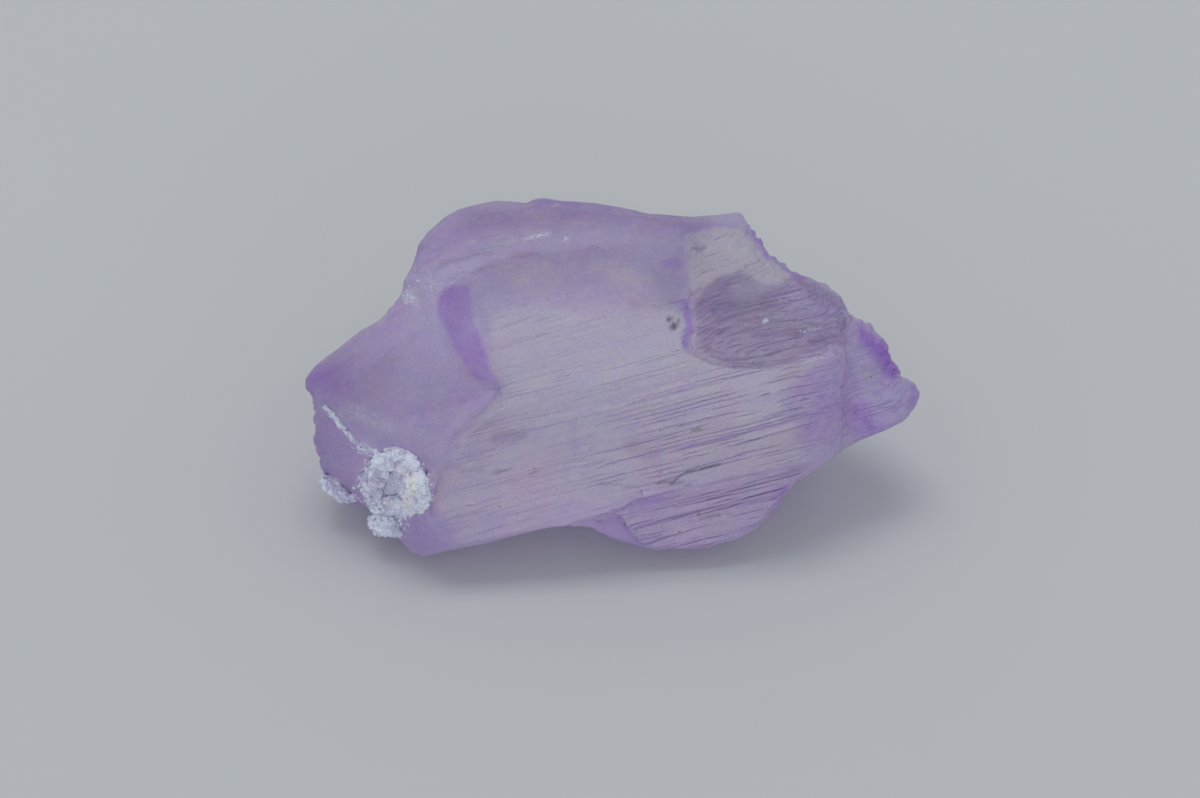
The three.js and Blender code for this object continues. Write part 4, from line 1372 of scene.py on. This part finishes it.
@dataclass
class LooseGrains:
    """Feldspar grains that cling to the crystal round the crusts, and white grains put on the skin as painted
    highlights where it glints.

    Attributes:
        seed: Which random draw places them.
        above: How far out of the drawing they fall from, in millimetres.
        patches: Where they cling; the last four are painted highlights, white grains where the skin glints.
    """

    seed: int = 11
    above: float = 30.0
    patches: tuple[Scatter, ...] = (
        Scatter(
            (
                (-17.9, -6.4), (-16.2, -5.9), (-14.6, -6.4), (-13.7, -8), (-14, -9.7),
                (-15.6, -10.3), (-17.9, -9.8), (-18.8, -8), (-17.9, -6.4),
            ),
            0.2, 1100, 0.075,
        ),
        Scatter(((-15, -6), (-14.2, -6.6), (-13.9, -7.6), (-14, -8.8), (-14.5, -9.7)), 0.13, 520, 0.09),
        Scatter(((-18, -7.4), (-17.4, -6.4), (-16.4, -6), (-15, -6)), 0.13, 420, 0.09),
        Scatter(
            (
                (-15.5, -8.2), (-15.7, -7.6), (-16.2, -7.4), (-16.8, -7.7), (-17, -8.2),
                (-16.7, -8.7), (-16.1, -8.9), (-15.6, -8.6), (-15.5, -8.2),
            ),
            0.12, 560, 0.08, 0.5,
        ),
        Scatter(((-16.5, -8), (-15.9, -8.3)), 0.3, 420, 0.08, 0.95),
        Scatter(((-17.9, -9.9), (-17.2, -11.2), (-16.4, -11.8)), 0.34, 420, 0.12),
        Scatter(((-16.6, -10.4), (-15.6, -10.8)), 0.4, 160, 0.07),
        Scatter(((-16.9, -11.3), (-16.2, -11.9)), 0.24, 260, 0.11, 0.8),
        Scatter(((-20.6, -9.2), (-19.4, -9.3)), 0.2, 260, 0.1, 0.8),
        Scatter(((-21.9, -7.9), (-21, -8.9), (-20, -9.2)), 0.3, 360, 0.12),
        Scatter(((-21.4, -2.2), (-18.8, -5.1)), 0.1, 160, 0.07),
        Scatter(((-18.8, -5.1), (-17.2, -6)), 0.22, 200, 0.07),
        Scatter(((-19.6, -2.7), (-17.6, -3.2), (-16.4, -4)), 0.42, 60, 0.04),
        Scatter(((-15.4, 6), (-14.6, 5.5)), 0.25, 90, 0.06),
        Scatter(((-14.2, 7.4), (-12.8, 6.6)), 0.5, 110, 0.045),
        # White grains as painted highlights where the skin glints.
        Scatter(((-6.4, 10.15), (-4.7, 10.55)), 0.06, 70, 0.04),
        Scatter(((-3.42, 10.18), (-3.38, 10.22)), 0.08, 16, 0.07),
        Scatter(((11.2, 4.05), (11.6, 4.15)), 0.08, 18, 0.07),
        Scatter(((14, 3.25), (15.6, 3.7)), 0.07, 34, 0.05),
    )

    def build(self, below: list[Object], finish: Material) -> Object:
        """Scatters the grains over the front of the stone.

        Args:
            below: The finished pieces that they cling to.
            finish: Their material.

        Returns:
            All the grains as one piece.
        """
        draw = np.random.default_rng(self.seed)
        depsgraph = bpy.context.evaluated_depsgraph_get()
        skins = [BVHTree.FromObject(piece, depsgraph) for piece in below]
        points, faces, shades = [], [], []
        count = 0
        for patch in self.patches:
            middles = self._fall(patch.places(draw), skins)
            heap, triangles = heap_of_grains(middles, patch.size * MM, draw)
            points.append(heap)
            faces.append(triangles + count)
            shades.append(np.full(len(heap), patch.shade, np.float32))
            count += len(heap)
        mesh = bpy.data.meshes.new("crust_and_glint_grains")
        mesh.from_pydata(np.concatenate(points).tolist(), [], np.concatenate(faces).tolist())
        kept = mesh.attributes.new(Attribute.SHADE.value, "FLOAT", "POINT")
        kept.data.foreach_set("value", np.concatenate(shades))
        mesh.materials.append(finish)
        return put_in_scene("crust_and_glint_grains", mesh)

    def _fall(self, places: Array, skins: list[BVHTree]) -> Array:
        """Lets grains fall on the stone, straight into the drawing.

        Args:
            places: Their places on the front.
            skins: What they may land on.

        Returns:
            Where those that land do so, in metres of the frame.
        """
        inward = -Vector(DRAWING.axes.col[2])
        starts = DRAWING.to_frame(np.column_stack([places, np.full(len(places), self.above)]))
        landed = []
        for start in starts:
            casts = [skin.ray_cast(Vector(start), inward) for skin in skins]
            hits = [(cast[3], cast[0]) for cast in casts if cast[0]]
            if hits:
                landed.append(min(hits, key=lambda hit: hit[0])[1])
        return np.array(landed)


@dataclass
class Studio:
    """The floor, the light and the camera.

    Attributes:
        floor_side: Side of the floor, in metres.
        floor_colour: The floor's colour.
        lamp_side: Width and depth of each soft light, in metres.
        lamp_colour: Their colour.
        top_power: Power of the light above, in watts.
        front_power: Power of the light in front, in watts.
        room_colour: Colour of the room's light.
        wall_light: Brightness of the room's walls.
        ceiling_light: Brightness of its ceiling.
        camera_distance: From the drawing's centre, in metres.
        camera_elevation: Above the horizon, in radians.
        lens: Focal length, in millimetres.
        sensor: Width of the sensor, in millimetres.
        aim: Where the drawing's centre falls in the photograph, in pixels.
        image: The photograph's size, in pixels.
    """

    floor_side: float = 6.0
    floor_colour: Colour = (0.60, 0.625, 0.645)
    lamp_side: tuple[float, float] = (1.3, 1.0)
    lamp_colour: Colour = (1.0, 0.99, 0.97)
    top_power: float = 9.5
    front_power: float = 2.6
    room_colour: Colour = (0.93, 0.96, 1.0)
    wall_light: float = 0.95
    ceiling_light: float = 0.42
    camera_distance: float = 0.374
    camera_elevation: float = math.radians(38.0)
    lens: float = 150.0
    sensor: float = 36.0
    aim: tuple[float, float] = (612.0, 376.0)
    image: tuple[float, float] = (1200.0, 798.0)

    def build(self, effects: Effects) -> None:
        """Makes all of it.

        Args:
            effects: The shared groups.
        """
        self._floor(effects)
        self._lamp("top_light", (-0.15, 0.55, 1.9), self.top_power)
        self._lamp("front_light", (0.2, -1.6, 0.42), self.front_power)
        self._room()
        self._camera()

    def _floor(self, effects: Effects) -> None:
        """Lays a plain pale floor.

        Args:
            effects: The shared groups.
        """
        half = self.floor_side / 2.0
        mesh = bpy.data.meshes.new("floor")
        corners = [(-half, -half, 0), (half, -half, 0), (half, half, 0), (-half, half, 0)]
        mesh.from_pydata(corners, [], [(0, 1, 2, 3)])
        made = MaterialTree("pale_floor", effects)
        low = tuple(0.96 * c for c in self.floor_colour)
        patches = made.mottle(size=0.05, contrast=0.5)
        made.shade("Base Color", made.ramp(patches, (0.0, low), (1.0, self.floor_colour)))
        made.shade("Roughness", 0.8)
        mesh.materials.append(made.material)
        put_in_scene("floor", mesh)

    def _lamp(self, name: str, place: Triple, power: float) -> None:
        """Hangs a wide soft light that faces the stone.

        Args:
            name: Its name.
            place: Where it hangs, in metres.
            power: Its power, in watts.
        """
        lamp = bpy.data.lights.new(name, "AREA")
        lamp.shape = "RECTANGLE"
        lamp.size, lamp.size_y = self.lamp_side
        lamp.energy = power
        lamp.color = self.lamp_colour
        light = put_in_scene(name, lamp)
        light.location = place
        light.rotation_euler = Vector(place).to_track_quat("Z", "Y").to_euler()

    def _room(self) -> None:
        """Fills the room with pale light, brighter from its walls than from its ceiling."""
        world = bpy.data.worlds.new("room")
        world.use_nodes = True
        room = Wiring(world.node_tree)
        parts = room.add("SeparateXYZ", {0: room.add("TexCoord", {}).outputs["Generated"]})
        inputs = {"From Max": 0.8, "To Min": self.wall_light, "To Max": self.ceiling_light}
        level = room.add("MapRange", inputs | {"Value": parts.outputs["Z"]})
        background = world.node_tree.nodes["Background"]
        room.give(background.inputs["Color"], (*self.room_colour, 1.0))
        room.give(background.inputs["Strength"], level.outputs["Result"])
        bpy.context.scene.world = world
        bpy.context.scene.view_settings.view_transform = "Standard"

    def _camera(self) -> None:
        """Places the camera at the photograph's angle."""
        lens = bpy.data.cameras.new("camera")
        lens.lens = self.lens
        lens.sensor_width = self.sensor
        lens.clip_start = 0.01
        width, height = self.image
        lens.shift_x = (width / 2.0 - self.aim[0]) / width
        lens.shift_y = (self.aim[1] - height / 2.0) / width
        camera = put_in_scene("camera", lens)
        away = Vector((0.0, -math.cos(self.camera_elevation), math.sin(self.camera_elevation)))
        camera.location = DRAWING.centre + self.camera_distance * away
        camera.rotation_euler = away.to_track_quat("Z", "Y").to_euler()
        bpy.context.scene.camera = camera


def attach(piece: Object, node: str | None = None) -> None:
    """Makes a piece part of the object.

    Args:
        piece: The piece.
        node: The solid that it stands for, if there is one.
    """
    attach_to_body(piece, BODY)
    if node is not None:
        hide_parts(node)
    log.info("%s: %d faces", piece.name, len(piece.data.polygons))


def main() -> None:
    """Builds the crystal, its crusts and the studio."""
    logging.basicConfig(level=logging.INFO, format="%(name)s %(message)s")
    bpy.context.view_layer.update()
    effects = Effects()
    feldspar = FeldsparFinish().build(effects)
    made = [Crystal().build(KunziteFinish().build(effects))]
    attach(made[0], "kunzite_crystal")
    for crust in (
        Crust("feldspar_crust_ring"),
        Crust("feldspar_crust_foot", grains=260, grain=0.2, ragged=0.4, stand_out=0.0, seed=2),
        Crust("feldspar_crust_corner", grains=260, grain=0.16, stand_out=-0.12, rim_out=0.06, seed=3),
        Crust("feldspar_vein", 0.05, 300, 0.1, ragged=0.16, stand_out=-0.08, rim_out=0.04, seed=4),
    ):
        made.append(crust.build(feldspar))
        attach(made[-1], crust.node)
    attach(LooseGrains().build(made, feldspar))
    Studio().build(effects)


if __name__ == "__main__":
    main()
